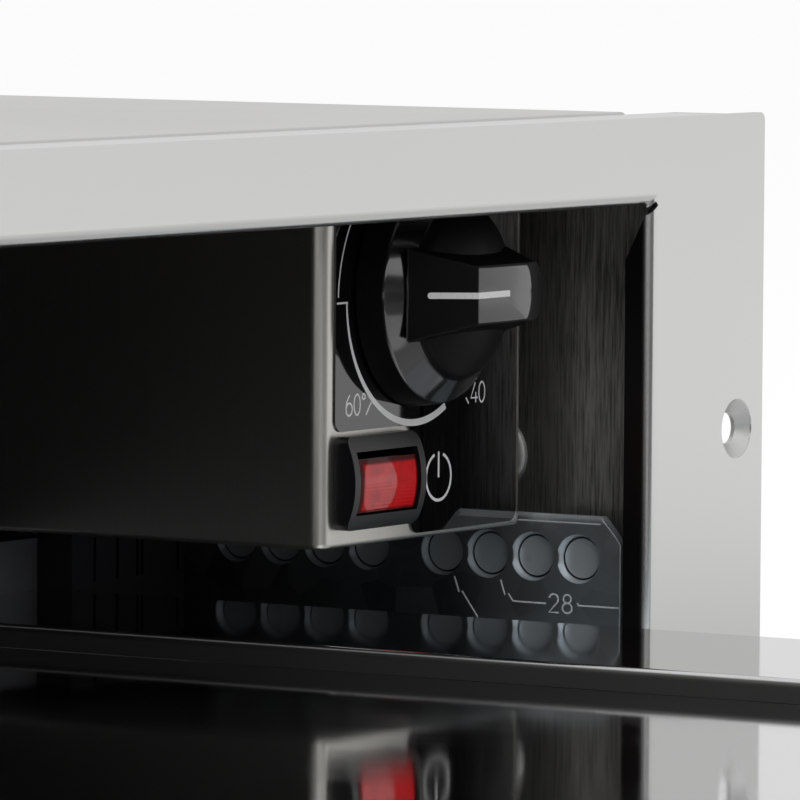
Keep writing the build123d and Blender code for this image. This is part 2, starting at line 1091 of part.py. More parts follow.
def make_grip():
    """Drafted grip bar, cut by a ramp at its pointer end and a low crown on top."""
    plan = Rectangle(2 * grip_half_length, 2 * grip_half_thick)
    far_corners = [corner for corner in plan.vertices() if corner.X > 0]
    plan = fillet(far_corners, grip_end_r) & Circle(grip_half_length)
    rise = grip_height - grip_base_h
    bar = extrude(knob_plane(grip_base_h) * plan, rise, taper=grip_draft)
    run = rise / math.tan(math.radians(crown_slope))
    spacing = crown_end_x + grip_ramp_x
    middle = Pos((crown_end_x - grip_ramp_x) / 2, 0)
    foot = SlotCenterToCenter(spacing, 2 * (crown_r + run))
    top = SlotCenterToCenter(spacing, 2 * crown_r)
    crown = loft(
        [knob_plane(grip_base_h) * middle * foot, knob_plane(grip_height) * middle * top]
    )
    reach = 2 * grip_half_length
    side = [
        (-grip_half_length, 0),
        (-grip_half_length, ramp_height(-grip_half_length)),
        (-grip_ramp_x, grip_height),
        (reach, grip_height),
        (reach, 0),
    ]
    cutter = make_face(Polyline(*[(x, -h, -reach) for x, h in side], close=True))
    return bar & crown & extrude(cutter, 2 * reach, dir=(0, 0, 1))


def make_knob():
    """Skirted knob with a low dome and a grip bar across it."""
    outline = [
        (0, knob_gap),
        (knob_base_r, knob_gap),
        (knob_rim_r, knob_rim_h),
        (knob_shoulder_r, knob_shoulder_h),
        (knob_body_r, knob_body_h),
        (0, knob_dome_h),
    ]
    half = make_face(Polyline(*[(r, -h, 0) for r, h in outline], close=True))
    body = revolve(half, Axis.Y, 360)
    rims = [
        edge
        for edge in body.edges().filter_by(GeomType.CIRCLE)
        if near(edge.center().Y, -knob_rim_h) or near(edge.center().Y, -knob_body_h)
    ]
    body = fillet(rims, grip_edge_r)
    knob = body + make_grip()
    knob -= rod(knob_hollow_r, (0, 1, 0), (0, -knob_gap - knob_hollow_h, 0))
    knob -= rod(shaft_r, (0, 1, 0), (0, -shaft_reach, 0))
    return knob - make_pointer_line()


def make_pointer_line():
    """White line let into the ramp and the top of the grip bar."""
    half = line_width / 2
    start_h = ramp_height(-line_start)
    path = [
        (-line_start, start_h),
        (-grip_ramp_x, grip_height),
        (line_end, grip_height),
        (line_end, grip_height - line_depth),
        (-grip_ramp_x + line_depth * 0.6, grip_height - line_depth),
        (-line_start + line_depth * 0.8, start_h - line_depth * 0.6),
    ]
    strip = make_face(Polyline(*[(x, -h, -half) for x, h in path], close=True))
    return extrude(strip, line_width, dir=(0, 0, 1))


def on_knob(shape):
    """Carry a piece drawn about the knob's own centre to its place."""
    return Pos(knob_x, film_y, knob_z) * shape


def make_thermostat_shaft():
    inside = panel_y + box_sheet + shaft_inside - 1
    return rod(shaft_r, (knob_x, knob_face(shaft_reach), knob_z), (knob_x, inside, knob_z))


# ---------------------------------------------------------------- rocker switch
def switch_drum(radius, half_width):
    """Cylinder about the rocker's pivot that crowns the switch."""
    return rod(
        radius,
        (switch_x - half_width, pivot_y, switch_z),
        (switch_x + half_width, pivot_y, switch_z),
    )


def make_switch_housing():
    half_w = switch_width / 2
    half_h = switch_height / 2
    bezel = block(
        switch_x - half_w,
        switch_x + half_w,
        panel_y - switch_proud - 1,
        panel_y,
        switch_z - half_h,
        switch_z + half_h,
    )
    bezel = fillet(bezel.edges().filter_by(Axis.Y), switch_corner_r)
    bezel = bezel & switch_drum(switch_crown_r, half_w + 1)
    body_w = switch_body_width / 2
    body_h = switch_body_height / 2
    back = panel_y + switch_body_depth
    body = block(
        switch_x - body_w,
        switch_x + body_w,
        panel_y,
        back,
        switch_z - body_h,
        switch_z + body_h,
    )
    housing = bezel + body
    win_w = window_width / 2
    win_h = window_height / 2
    housing -= block(
        switch_x - win_w,
        switch_x + win_w,
        panel_y - switch_proud - 2,
        back - switch_wall,
        switch_z - win_h,
        switch_z + win_h,
    )
    return housing - rod(
        pivot_r + pivot_clear,
        (switch_x - body_w, pivot_y, switch_z),
        (switch_x + body_w, pivot_y, switch_z),
    )


def rocker_block(half_height, outer_r, inner_y):
    """Crowned block inside the window, from the drum back to inner_y."""
    half_w = window_width / 2 - rocker_gap
    shape = block(
        switch_x - half_w,
        switch_x + half_w,
        pivot_y - outer_r - 1,
        inner_y,
        switch_z - half_height,
        switch_z + half_height,
    )
    return shape & switch_drum(outer_r, half_w + 1)


def tipped(shape):
    """Turn a rocker piece from level to its resting tilt, with its face down."""
    about = Axis((switch_x, pivot_y, switch_z), (1, 0, 0))
    return shape.rotate(about, rocker_rest)


def make_rocker_lens():
    lens = rocker_block(lens_height / 2, rocker_r, pivot_y)
    return tipped(lens - switch_drum(rocker_r - lens_thick, window_width))


def make_rocker_carrier():
    """Black carrier behind the lens, with its pivot pins."""
    core_h = lens_height / 2 - rocker_gap
    half_w = window_width / 2 - rocker_gap
    core = rocker_block(core_h, rocker_r - lens_thick, pivot_y + 2 * pivot_r)
    reach = switch_body_width / 2 - rocker_gap
    pins = rod(
        pivot_r,
        (switch_x - reach, pivot_y, switch_z),
        (switch_x + reach, pivot_y, switch_z),
    )
    return tipped(core + pins)


def make_switch_tabs():
    back = panel_y + switch_body_depth
    tabs = []
    for number in (-1, 0, 1):
        x = switch_x + number * tab_pitch
        tabs.append(
            block(
                x - tab_thick / 2,
                x + tab_thick / 2,
                back,
                back + tab_length,
                switch_z - tab_width / 2,
                switch_z + tab_width / 2,
            )
        )
    return group(tabs)


# ---------------------------------------------------------------- fan heater
def make_fan_cover():
    cover = block(
        -wall_x, wall_x, cover_y, cover_y + cover_sheet, liner_top, ceiling_z
    )
    holes = [(0.0, fan_z)]
    for ring in range(1, inlet_rings + 1):
        for step in range(6 * ring):
            turn = math.radians(60 * step / ring)
            radius = ring * inlet_pitch
            holes.append((radius * math.cos(turn), fan_z + radius * math.sin(turn)))
    for x, z in holes:
        cover -= rod(inlet_hole_r, (x, cover_y - 1, z), (x, cover_y + 2, z))
    first_z = fan_z - outlet_pitch * (outlet_rows - 1) / 2
    for side in (-1, 1):
        for row in range(outlet_rows):
            x = side * outlet_x
            z = first_z + row * outlet_pitch
            cover -= block(
                x - outlet_width / 2,
                x + outlet_width / 2,
                cover_y - 1,
                cover_y + 2,
                z - outlet_height / 2,
                z + outlet_height / 2,
            )
    return cover


def element_y():
    return fan_y + fan_width / 2


def element_legs(radius, y1):
    """The two straight ends of the element, which run back from the ring."""
    half = element_leg_gap / 2
    z = fan_z + math.sqrt(element_ring_r**2 - half**2)
    y0 = element_y()
    return [rod(radius, (x, y0, z), (x, y1, z)) for x in (-half, half)]


def make_fan_shield():
    shield = block(
        -shield_half_width,
        shield_half_width,
        shield_y,
        shield_y + shield_sheet,
        liner_top,
        ceiling_z,
    )
    shield -= rod(shield_hole_r, (0, shield_y - 1, fan_z), (0, shield_y + 2, fan_z))
    for leg in element_legs(element_leg_r + leg_clear, shield_y + 2):
        shield -= leg
    return shield


def make_heating_element():
    y = element_y()
    seat = Plane(origin=(0, y, fan_z), x_dir=(1, 0, 0), z_dir=(0, 1, 0))
    element = seat * Torus(element_ring_r, element_r)
    half = element_end_gap / 2
    reach = 2 * element_r
    crown = fan_z + element_ring_r
    element -= block(-half, half, y - reach, y + reach, crown - reach, crown + reach)
    for leg in element_legs(element_leg_r, y + element_leg_reach):
        element += leg
    return element


def make_element_clips():
    """Three clips that hold the ring off the shield."""
    y = element_y()
    half = clip_width / 2
    rim = element_ring_r + element_r + clip_reach
    ring = Plane(origin=(0, y, fan_z), x_dir=(1, 0, 0), z_dir=(0, 1, 0)) * Torus(
        element_ring_r, element_r + leg_clear
    )
    clips = []
    for angle in (-30, 210, 270):
        arm = block(
            element_ring_r, rim, y - element_r, shield_y, fan_z - half, fan_z + half
        )
        turn = Axis((0, 0, fan_z), (0, 1, 0))
        clips.append(arm.rotate(turn, -angle) - ring)
    return group(clips)


def make_fan_motor():
    y0 = shield_y + shield_sheet + motor_gap
    body = rod(motor_r, (0, y0, fan_z), (0, back_in_y, fan_z))
    for side in (-1, 1):
        ear_x = side * (motor_r + motor_ear)
        body += block(
            0,
            ear_x,
            back_in_y - motor_ear_thick,
            back_in_y,
            fan_z - motor_ear,
            fan_z + motor_ear,
        )
    return body - rod(
        fan_shaft_r + shaft_clear, (0, y0 - 1, fan_z), (0, back_in_y - 3, fan_z)
    )


def make_fan_impeller():
    """Backplate, hub, leaning blades and the shaft that carries them."""
    back = fan_y + fan_width
    wheel = rod(fan_r, (0, back - fan_disc, fan_z), (0, back, fan_z))
    wheel += rod(fan_hub_r, (0, fan_y + fan_width / 3, fan_z), (0, back, fan_z))
    blade_mid = (fan_blade_inner_r + fan_r) / 2
    blade_length = (fan_r - fan_blade_inner_r) * 0.95
    blade = Box(blade_length, fan_width - fan_disc, fan_blade_thick)
    blade = blade.rotate(Axis.Y, fan_blade_lean)
    blade = Pos(blade_mid, fan_y + (fan_width - fan_disc) / 2, 0) * blade
    for number in range(fan_blades):
        turned = blade.rotate(Axis.Y, number * 360 / fan_blades)
        wheel += Pos(0, 0, fan_z) * turned
    return wheel + rod(fan_shaft_r, (0, back, fan_z), (0, back_in_y - 4, fan_z))


def make_thermal_cutout():
    """Snap-disc cut-out on the shield, with its two tabs."""
    y0 = shield_y - cutout_thick
    body = rod(cutout_r, (cutout_x, y0, cutout_z), (cutout_x, shield_y, cutout_z))
    for side in (-1, 1):
        x = cutout_x + side * cutout_r * 0.5
        body += block(
            x - tab_width / 2,
            x + tab_width / 2,
            y0 - tab_length / 2,
            y0,
            cutout_z - tab_thick / 2,
            cutout_z + tab_thick / 2,
        )
    return body


# ---------------------------------------------------------------- supply side
def make_terminal_block():
    y0 = back_in_y - terminal_depth
    half = terminal_width / 2
    body = block(
        terminal_x - half,
        terminal_x + half,
        y0,
        back_in_y,
        terminal_z - terminal_height / 2,
        terminal_z + terminal_height / 2,
    )
    pitch = terminal_width / terminal_count
    for number in range(terminal_count):
        x = terminal_x - half + pitch * (number + 0.5)
        body -= rod(
            terminal_screw_r + 0.5, (x, y0 - 1, terminal_z), (x, y0 + 5, terminal_z)
        )
    return body


def make_terminal_screws():
    y0 = back_in_y - terminal_depth
    pitch = terminal_width / terminal_count
    screws = []
    for number in range(terminal_count):
        x = terminal_x - terminal_width / 2 + pitch * (number + 0.5)
        screw = rod(terminal_screw_r, (x, y0 + 2, terminal_z), (x, y0 + 5, terminal_z))
        screws.append(
            screw
            - block(
                x - terminal_screw_r,
                x + terminal_screw_r,
                y0 + 1,
                y0 + 3,
                terminal_z - 0.4,
                terminal_z + 0.4,
            )
        )
    return group(screws)


def make_cable_inlet():
    """Bush in the rear panel for the supply cable."""
    inlet = rod(
        inlet_body_r,
        (inlet_x, back_in_y - inlet_inside, inlet_z),
        (inlet_x, back_y + inlet_flange, inlet_z),
    )
    inlet += rod(
        inlet_flange_r,
        (inlet_x, back_y, inlet_z),
        (inlet_x, back_y + inlet_flange, inlet_z),
    )
    inlet += rod(
        inlet_flange_r,
        (inlet_x, back_in_y - inlet_flange, inlet_z),
        (inlet_x, back_in_y, inlet_z),
    )
    return inlet - rod(
        inlet_bore_r,
        (inlet_x, back_in_y - inlet_inside - 1, inlet_z),
        (inlet_x, back_y + inlet_flange + 1, inlet_z),
    )


# ---------------------------------------------------------------- assembly
def pair(name, shape):
    """A right-hand piece and its left-hand twin."""
    return {name + "_right": shape, name + "_left": left(shape)}


def cabinet_pieces():
    pieces = {
        "front_frame": make_front_frame(),
        "top_panel": make_top_panel(),
        "base_pan": make_base_pan(),
        "rear_panel": make_rear_panel(),
        "ceiling_panel": make_ceiling_panel(),
        "ceiling_wool": make_ceiling_wool(),
        "base_wool": make_base_wool(),
        "floor_liner": make_floor_liner(),
        "fan_cover": make_fan_cover(),
        "fan_shield": make_fan_shield(),
        "heating_element": make_heating_element(),
        "element_clips": make_element_clips(),
        "fan_motor": make_fan_motor(),
        "thermal_cutout": make_thermal_cutout(),
        "terminal_block": make_terminal_block(),
        "terminal_screws": make_terminal_screws(),
        "cable_inlet": make_cable_inlet(),
        "control_box": make_control_box(),
        "control_film": make_control_film(),
        "thermostat_body": make_thermostat_body(),
        "thermostat_nut": make_thermostat_nut(),
        "switch_housing": make_switch_housing(),
        "switch_tabs": make_switch_tabs(),
    }
    pieces.update(pair("side_panel", make_side_panel()))
    pieces.update(pair("slide_rail", make_slide_rail()))
    pieces.update(pair("slide_cabinet", make_slide_cabinet()))
    screws = make_slide_screws()
    pieces["slide_screws"] = group([*screws.solids(), *left(screws).solids()])
    return pieces


def moving_pieces():
    return {
        "thermostat_knob": on_knob(make_knob()),
        "knob_line": on_knob(make_pointer_line()),
        "thermostat_shaft": make_thermostat_shaft(),
        "rocker_lens": make_rocker_lens(),
        "rocker_carrier": make_rocker_carrier(),
        "fan_impeller": make_fan_impeller(),
    }


def drawer_pieces():
    pieces = {
        "tray_deck": make_tray_deck(),
        "tray_pan": make_tray_pan(),
        "tray_board": make_tray_board(),
        "rear_rail": make_rear_rail(),
        "front_fascia": make_fascia(),
        "front_inner": make_inner_front(),
        "front_wool": make_front_wool(),
        "front_seal": make_front_seal(),
        "handle_bar": make_handle_bar(),
        "handle_posts": make_handle_posts(),
        "bracket_screws": make_bracket_screws(),
    }
    pieces.update(pair("rear_corner", make_rear_corner()))
    pieces.update(pair("slide_runner", make_slide_runner()))
    pieces.update(pair("runner_glides", make_runner_glides()))
    pieces.update(pair("front_bracket", make_front_bracket()))
    return {name: opened(shape) for name, shape in pieces.items()}


def middle_pieces():
    """Middle slide members, which travel half as far as the drawer."""
    pieces = pair("slide_middle", make_slide_middle())
    pieces.update(pair("middle_glides", make_middle_glides()))
    return {name: opened(shape, 0.5) for name, shape in pieces.items()}


all_pieces = {}
for maker in (cabinet_pieces, moving_pieces, drawer_pieces, middle_pieces):
    all_pieces.update(maker())

for node, shape in all_pieces.items():
    export_step(shape, f"parts/{node}.step")

print(len(all_pieces), "pieces written")
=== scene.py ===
"""Looks of the built-in warming drawer: finishes, printed and pressed marks, and the studio.

Places are in metres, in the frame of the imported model: +Z up, front towards -Y. The knob, the
print, the slides' marks and the studs are drawn in millimetres.
"""
import json
import math

import bmesh
import bpy
from mathutils import Matrix, Vector


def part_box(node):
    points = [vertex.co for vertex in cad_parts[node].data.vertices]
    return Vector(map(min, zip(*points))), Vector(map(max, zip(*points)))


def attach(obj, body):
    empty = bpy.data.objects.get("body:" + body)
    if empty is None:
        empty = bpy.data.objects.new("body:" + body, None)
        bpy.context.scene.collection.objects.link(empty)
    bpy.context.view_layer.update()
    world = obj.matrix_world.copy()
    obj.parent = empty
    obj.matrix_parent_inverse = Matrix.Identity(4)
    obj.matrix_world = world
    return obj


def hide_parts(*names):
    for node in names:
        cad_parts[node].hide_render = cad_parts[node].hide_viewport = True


bl_info = {
    "name": "Warming drawer dressing",
    "version": (1, 0, 0),
    "blender": (4, 5, 0),
    "location": "View3D > Sidebar > Drawer",
    "description": "Dresses the warming drawer's solids and sets up its studio",
    "category": "Object",
}

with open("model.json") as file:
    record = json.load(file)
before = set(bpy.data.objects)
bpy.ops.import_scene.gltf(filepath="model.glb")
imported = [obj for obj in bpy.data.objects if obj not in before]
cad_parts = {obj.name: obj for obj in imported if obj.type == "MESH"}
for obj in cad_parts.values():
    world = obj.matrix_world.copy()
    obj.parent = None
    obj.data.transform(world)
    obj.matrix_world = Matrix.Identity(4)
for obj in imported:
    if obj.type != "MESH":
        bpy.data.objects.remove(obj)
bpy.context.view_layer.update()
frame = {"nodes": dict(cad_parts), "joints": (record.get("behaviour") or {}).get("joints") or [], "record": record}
NODES = frame["nodes"]
SLOTS = {row["node"]: row["material_slot"] for row in frame["record"]["subparts"]}
JOINTS = {joint["name"]: joint for joint in frame["joints"]}

MM = 0.001
FILM_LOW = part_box("control_film")[0]
KNOB_POINT = Vector(JOINTS["thermostat_turn"]["pos_m"])
LENS_LOW, LENS_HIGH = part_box("rocker_lens")
SWITCH_POINT = Vector(JOINTS["rocker_tip"]["pos_m"])
PLATE_LOW, PLATE_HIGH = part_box("slide_cabinet_right")
FRAME_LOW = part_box("front_frame")[0]
DECK_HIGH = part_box("tray_deck")[1]
WELD = 0.000002
CREASE = math.radians(35.0)
STEEL = (0.60, 0.595, 0.58)
# From the middle to the face of a slide's plate, and to the inner face of a side wall
SIDE_PLATE_X = 0.2635
WALL_X = 0.2717


# ------------------------------------------------------------------ shader maths
class Value:
    """A shader number that grows Math nodes when Python's operators are used on it."""

    def __init__(self, owner, socket):
        self.owner = owner
        self.socket = socket

    def math(self, operation, *others):
        return self.owner.node("ShaderNodeMath", {"operation": operation}, [self, *others])

    def __add__(self, other):
        return self.math("ADD", other)

    __radd__ = __add__

    def __mul__(self, other):
        return self.math("MULTIPLY", other)

    __rmul__ = __mul__

    def __sub__(self, other):
        return self.math("SUBTRACT", other)

    def __rsub__(self, other):
        return self.owner.node("ShaderNodeMath", {"operation": "SUBTRACT"}, [other, self])

    def __truediv__(self, other):
        return self.math("DIVIDE", other)

    def __pow__(self, other):
        return self.math("POWER", other)

    def __abs__(self):
        return self.math("ABSOLUTE")

    def most(self, other):
        return self.math("MAXIMUM", other)

    def ramp(self, low, high):
        """0 below low, 1 above high, smooth between them."""
        settings = {"interpolation_type": "SMOOTHSTEP"}
        return self.owner.node("ShaderNodeMapRange", settings, [self, low, high])

    def past(self, edge, soft):
        """1 beyond an edge and 0 before it, smooth over soft to either side of it."""
        return self.ramp(edge - soft, edge + soft)


class Nodes:
    """A node tree, of a finish or of the world, that grows by one method."""

    def __init__(self, tree):
        self.tree = tree
        tree.nodes.clear()

    def node(self, kind, settings=None, inputs=(), output=0):
        """Add a node, set it, feed its sockets by order or name, and return an output."""
        made = self.tree.nodes.new(kind)
        for name, value in (settings or {}).items():
            setattr(made, name, value)
        pairs = inputs.items() if isinstance(inputs, dict) else enumerate(inputs)
        for key, value in pairs:
            if isinstance(value, Value):
                self.tree.links.new(value.socket, made.inputs[key])
            else:
                made.inputs[key].default_value = value
        return Value(self, made.outputs[output])

    def rays(self, first, *others):
        """1 where a ray is of one of these kinds, such as Camera; else 0."""
        total = self.node("ShaderNodeLightPath", output=f"Is {first} Ray")
        for kind in others:
            total = total.most(self.node("ShaderNodeLightPath", output=f"Is {kind} Ray"))
        return total

    def mixed(self, share, first, second):
        """Two shaders mixed, the second one by its share."""
        return self.node("ShaderNodeMixShader", inputs=[share, first, second])


class Finish(Nodes):
    """One node material, built by name: colour, roughness and relief."""

    def __init__(self, name, color, rough, metal=0.0, **fixed):
        self.material = bpy.data.materials.new(name)
        self.material.use_nodes = True
        super().__init__(self.material.node_tree)
        self.shader = self.tree.nodes.new("ShaderNodeBsdfPrincipled")
        self.output = self.tree.nodes.new("ShaderNodeOutputMaterial")
        self.tree.links.new(self.shader.outputs[0], self.output.inputs[0])
        self.color = (*color, 1.0)
        self.shader.inputs["Base Color"].default_value = self.color
        self.shader.inputs["Roughness"].default_value = rough
        self.shader.inputs["Metallic"].default_value = metal
        for socket, value in fixed.items():
            self.shader.inputs[socket.replace("_", " ")].default_value = value

    def place(self, stretch=(1.0, 1.0, 1.0)):
        """Object coordinates, scaled apart along each axis."""
        spot = self.node("ShaderNodeTexCoord", output="Object")
        return self.node(
            "ShaderNodeMapping", {"vector_type": "POINT"}, {"Vector": spot, "Scale": stretch}
        )

    def axis(self, name):
        """One of the Object coordinates, in metres."""
        spot = self.node("ShaderNodeTexCoord", output="Object")
        return self.node("ShaderNodeSeparateXYZ", inputs=[spot], output=name)

    def noise(self, scale, stretch=(1.0, 1.0, 1.0), detail=3.0, rough=0.55):
        fields = {
            "Vector": self.place(stretch),
            "Scale": scale,
            "Detail": detail,
            "Roughness": rough,
        }
        return self.node("ShaderNodeTexNoise", inputs=fields, output="Fac")

    def cells(self, scale):
        """A number from 0 to 1 for each cell of a Voronoi pattern."""
        fields = {"Vector": self.place(), "Scale": scale}
        color = self.node("ShaderNodeTexVoronoi", {"feature": "F1"}, fields, "Color")
        return self.node("ShaderNodeSeparateColor", inputs=[color])

    def blend(self, amount, first, second):
        """Colour between two colours."""
        fields = {0: amount, 6: first, 7: second}
        return self.node("ShaderNodeMix", {"data_type": "RGBA"}, fields, 2)

    def feed(self, socket, value):
        self.tree.links.new(value.socket, self.shader.inputs[socket])

    def tint(self, amount, other):
        """Drift the colour towards another one where amount is high."""
        self.feed("Base Color", self.blend(amount, self.color, (*other, 1.0)))

    def relief(self, height, depth, strength):
        fields = {"Height": height, "Distance": depth, "Strength": strength}
        self.feed("Normal", self.node("ShaderNodeBump", inputs=fields))


# ------------------------------------------------------------------ finishes
def grain(finish, along):
    """Noise drawn out along one axis, as a belt leaves it on sheet."""
    fine, drawn_out = 5200.0, 0.012
    stretch = [fine, fine, fine]
    stretch["XYZ".index(along)] = fine * drawn_out
    return finish.noise(1.0, tuple(stretch), detail=4.0, rough=0.65)


def brushed_steel(name, along, tone, rough, bite):
    finish = Finish(name, tone, rough, 1.0)
    lines = grain(finish, along)
    cloud = finish.noise(9.0, detail=2.0)
    finish.tint((cloud * 0.35 + lines * 0.45).ramp(0.2, 0.75), [c * 0.82 for c in tone])
    finish.feed("Roughness", (lines - 0.5) * (0.16 * bite) + (cloud * 0.08 + rough - 0.04))
    finish.relief(lines, 0.02 * MM * bite, 0.5)
    return finish.material


def wall_steel(name, light, dark):
    """Sheet with a short, coarse grain up and down inside, and an evener one outside."""
    finish = Finish(name, light, 0.42, 1.0)
    lines = finish.noise(1.0, (2600.0, 2600.0, 120.0), detail=4.0, rough=0.6)
    cloud = finish.noise(26.0, detail=3.0)
    inner = finish.blend(
        (lines * 0.75 + cloud * 0.25).ramp(0.36, 0.66), (*light, 1.0), (*dark, 1.0)
    )
    outer = finish.blend(lines, (*STEEL, 1.0), (0.46, 0.456, 0.445, 1.0))
    outside = abs(finish.axis("X")).past(WALL_X + 0.45 * MM, 0.15 * MM)
    finish.feed("Base Color", finish.blend(outside, inner, outer))
    finish.feed("Roughness", (lines - 0.5) * 0.3 + (cloud * 0.1 + 0.37))
    finish.relief(lines, 0.03 * MM, 0.6)
    return finish.material


def flange_steel(name):
    """Smooth satin face, duller in its screw seats; the lip round its opening is painted dark as shade."""
    finish = Finish(name, (0.63, 0.63, 0.62), 0.2, 1.0)
    opening_x, opening_top, seat_x = 262.0 * MM, 123.25 * MM, 282.5 * MM
    cloud = finish.noise(6.0, detail=2.0)
    lines = grain(finish, "X")
    depth = finish.axis("Y") - FRAME_LOW.y
    width = abs(finish.axis("X"))
    behind = depth.ramp(0.7 * MM, 1.6 * MM) * (1.0 - width.past(opening_x, 0.2 * MM))
    behind = behind * (1.0 - finish.axis("Z").past(opening_top, 0.15 * MM))
    seat = depth.ramp(0.05 * MM, 0.3 * MM) * width.past(seat_x, 0.5 * MM)
    finish.feed("Roughness", (lines * 0.3 + cloud) * 0.05 + behind * 0.14 + seat * 0.25 + 0.155)
    # Painted shade: the lip behind the opening is tinted near black, with a faint random cloud over the face.
    finish.tint(behind * 0.96 + cloud * 0.04, (0.045, 0.045, 0.042))
    return finish.material


def polished_steel(name):
    """Mirror-bright deck; the pressed step round its floor stays satin and is painted dark as shade."""
    finish = Finish(name, (0.70, 0.70, 0.71), 0.07, 1.0)
    step_x, step_start, step_end, edge_end = 169.5 * MM, 0.45 * MM, 3.66 * MM, 3.15 * MM
    haze = finish.noise(16.0, detail=3.0)
    streak = finish.noise(1.0, (45.0, 6.0, 6.0), detail=3.0)
    drop = DECK_HIGH.z - finish.axis("Z")
    step = drop.past(step_start, 0.15 * MM) * (1.0 - drop.past(step_end, 0.03 * MM))
    from_step = abs(abs(finish.axis("X")) - step_x)
    edge = (1.0 - from_step.past(0.55 * MM, 0.15 * MM)) * (1.0 - step)
    edge = edge * (1.0 - drop.past(edge_end, 0.15 * MM))
    shine = (haze * streak).ramp(0.18, 0.55) * 0.06 + 0.05
    finish.feed("Roughness", shine + step * 0.4 + edge * 0.35)
    finish.feed("Metallic", 1.0 - edge * 0.35)
    # Painted shade: the riser of the pressed step is tinted dark.
    finish.tint(step, (0.13, 0.13, 0.125))
    finish.relief(finish.noise(22.0, detail=1.0), 0.04 * MM, 0.35)
    return finish.material


def zinc_steel(name):
    """Zinc plating with random dull patches, painted shade further back, a painted highlight in the slides'
    pressed pockets, and painted shade round each pocket's floor.
    """
    finish = Finish(name, (0.80, 0.86, 0.90), 0.45, 1.0)
    pocket_start, ring_start, pocket_end = 0.175 * MM, 1.54 * MM, 2.0 * MM
    bloom = finish.noise(60.0, detail=5.0, rough=0.6)
    patch = finish.cells(160.0)
    from_plate = abs(finish.axis("X")) - SIDE_PLATE_X
    pressed = from_plate.past(pocket_start, 0.125 * MM)
    pressed = pressed * (1.0 - from_plate.past(pocket_end, 0.1 * MM))
    ring = from_plate.past(ring_start, 0.04 * MM) * pressed
    # Painted shade: darker further back from the plate's front edge.
    shade_further_in = (finish.axis("Y") - PLATE_LOW.y).ramp(8.0 * MM, 36.0 * MM) * 0.6 + 0.12
    dull = (bloom * 0.7 + patch * 0.3).ramp(0.25, 0.8) * 0.25 + shade_further_in
    # Dark tint from random dull patches plus painted shade; lighter in the pockets as a painted highlight, and
    # dark at each pocket's floor ring as painted shade.
    finish.tint((dull * (1.0 - pressed * 0.45)).most(ring), (0.10, 0.112, 0.12))
    finish.feed("Metallic", 1.0 - pressed * (1.0 - ring) * 0.35)
    finish.feed("Roughness", bloom.ramp(0.3, 0.75) * 0.12 + 0.40)
    return finish.material


def wool_mat(name):
    finish = Finish(name, (0.80, 0.79, 0.74), 0.95, 0.0)
    fibre = finish.noise(1.0, (900.0, 260.0, 260.0), detail=5.0, rough=0.7)
    finish.tint(fibre.ramp(0.35, 0.7), (0.62, 0.60, 0.53))
    finish.relief(fibre, 0.6 * MM, 0.8)
    return finish.material


def gloss_black(name):
    finish = Finish(name, (0.003, 0.003, 0.0035), 0.06, 0.0, Coat_Weight=0.6, Coat_Roughness=0.02)
    finish.feed("Roughness", finish.noise(70.0, detail=4.0).ramp(0.4, 0.8) * 0.05 + 0.03)
    return finish.material


def knob_plastic(name):
    """Black moulding, polished on its bevel and on the grip's top and dull between them."""
    finish = Finish(
        name, (0.004, 0.004, 0.0045), 0.3, 0.0, Coat_IOR=1.8, Coat_Roughness=0.12,
        Specular_IOR_Level=0.08,
    )
    bevel_foot, bevel_top, grip_top = 5.15 * MM, 8.25 * MM, 17.44 * MM
    height = FILM_LOW.y - finish.axis("Y")
    top = height.past(grip_top, 0.04 * MM)
    bevel = height.past(bevel_foot, 0.25 * MM) * (1.0 - height.past(bevel_top, 0.25 * MM))
    finish.feed("Coat Weight", top.most(bevel))
    finish.feed("Roughness", finish.noise(130.0, detail=4.0).ramp(0.35, 0.8) * 0.1 + 0.42)
    finish.relief(finish.noise(2600.0, detail=2.0), 0.008 * MM, 0.35)
    return finish.material


def moulded(name, color, rough):
    finish = Finish(name, color, rough, 0.0)
    skin = finish.noise(1900.0, detail=3.0)
    scuff = finish.noise(45.0, detail=4.0)
    finish.tint(scuff.ramp(0.45, 0.8), [min(1.0, c * 1.25 + 0.004) for c in color])
    finish.feed("Roughness", scuff * 0.14 + (rough - 0.07))
    finish.relief(skin, 0.02 * MM, 0.5)
    return finish.material


def bezel_black(name):
    """Satin black moulding with a cool sheen."""
    finish = Finish(name, (0.007, 0.0075, 0.009), 0.32, 0.0)
    finish.feed("Roughness", finish.noise(45.0, detail=4.0) * 0.1 + 0.27)
    finish.relief(finish.noise(1900.0, detail=3.0), 0.02 * MM, 0.4)
    return finish.material


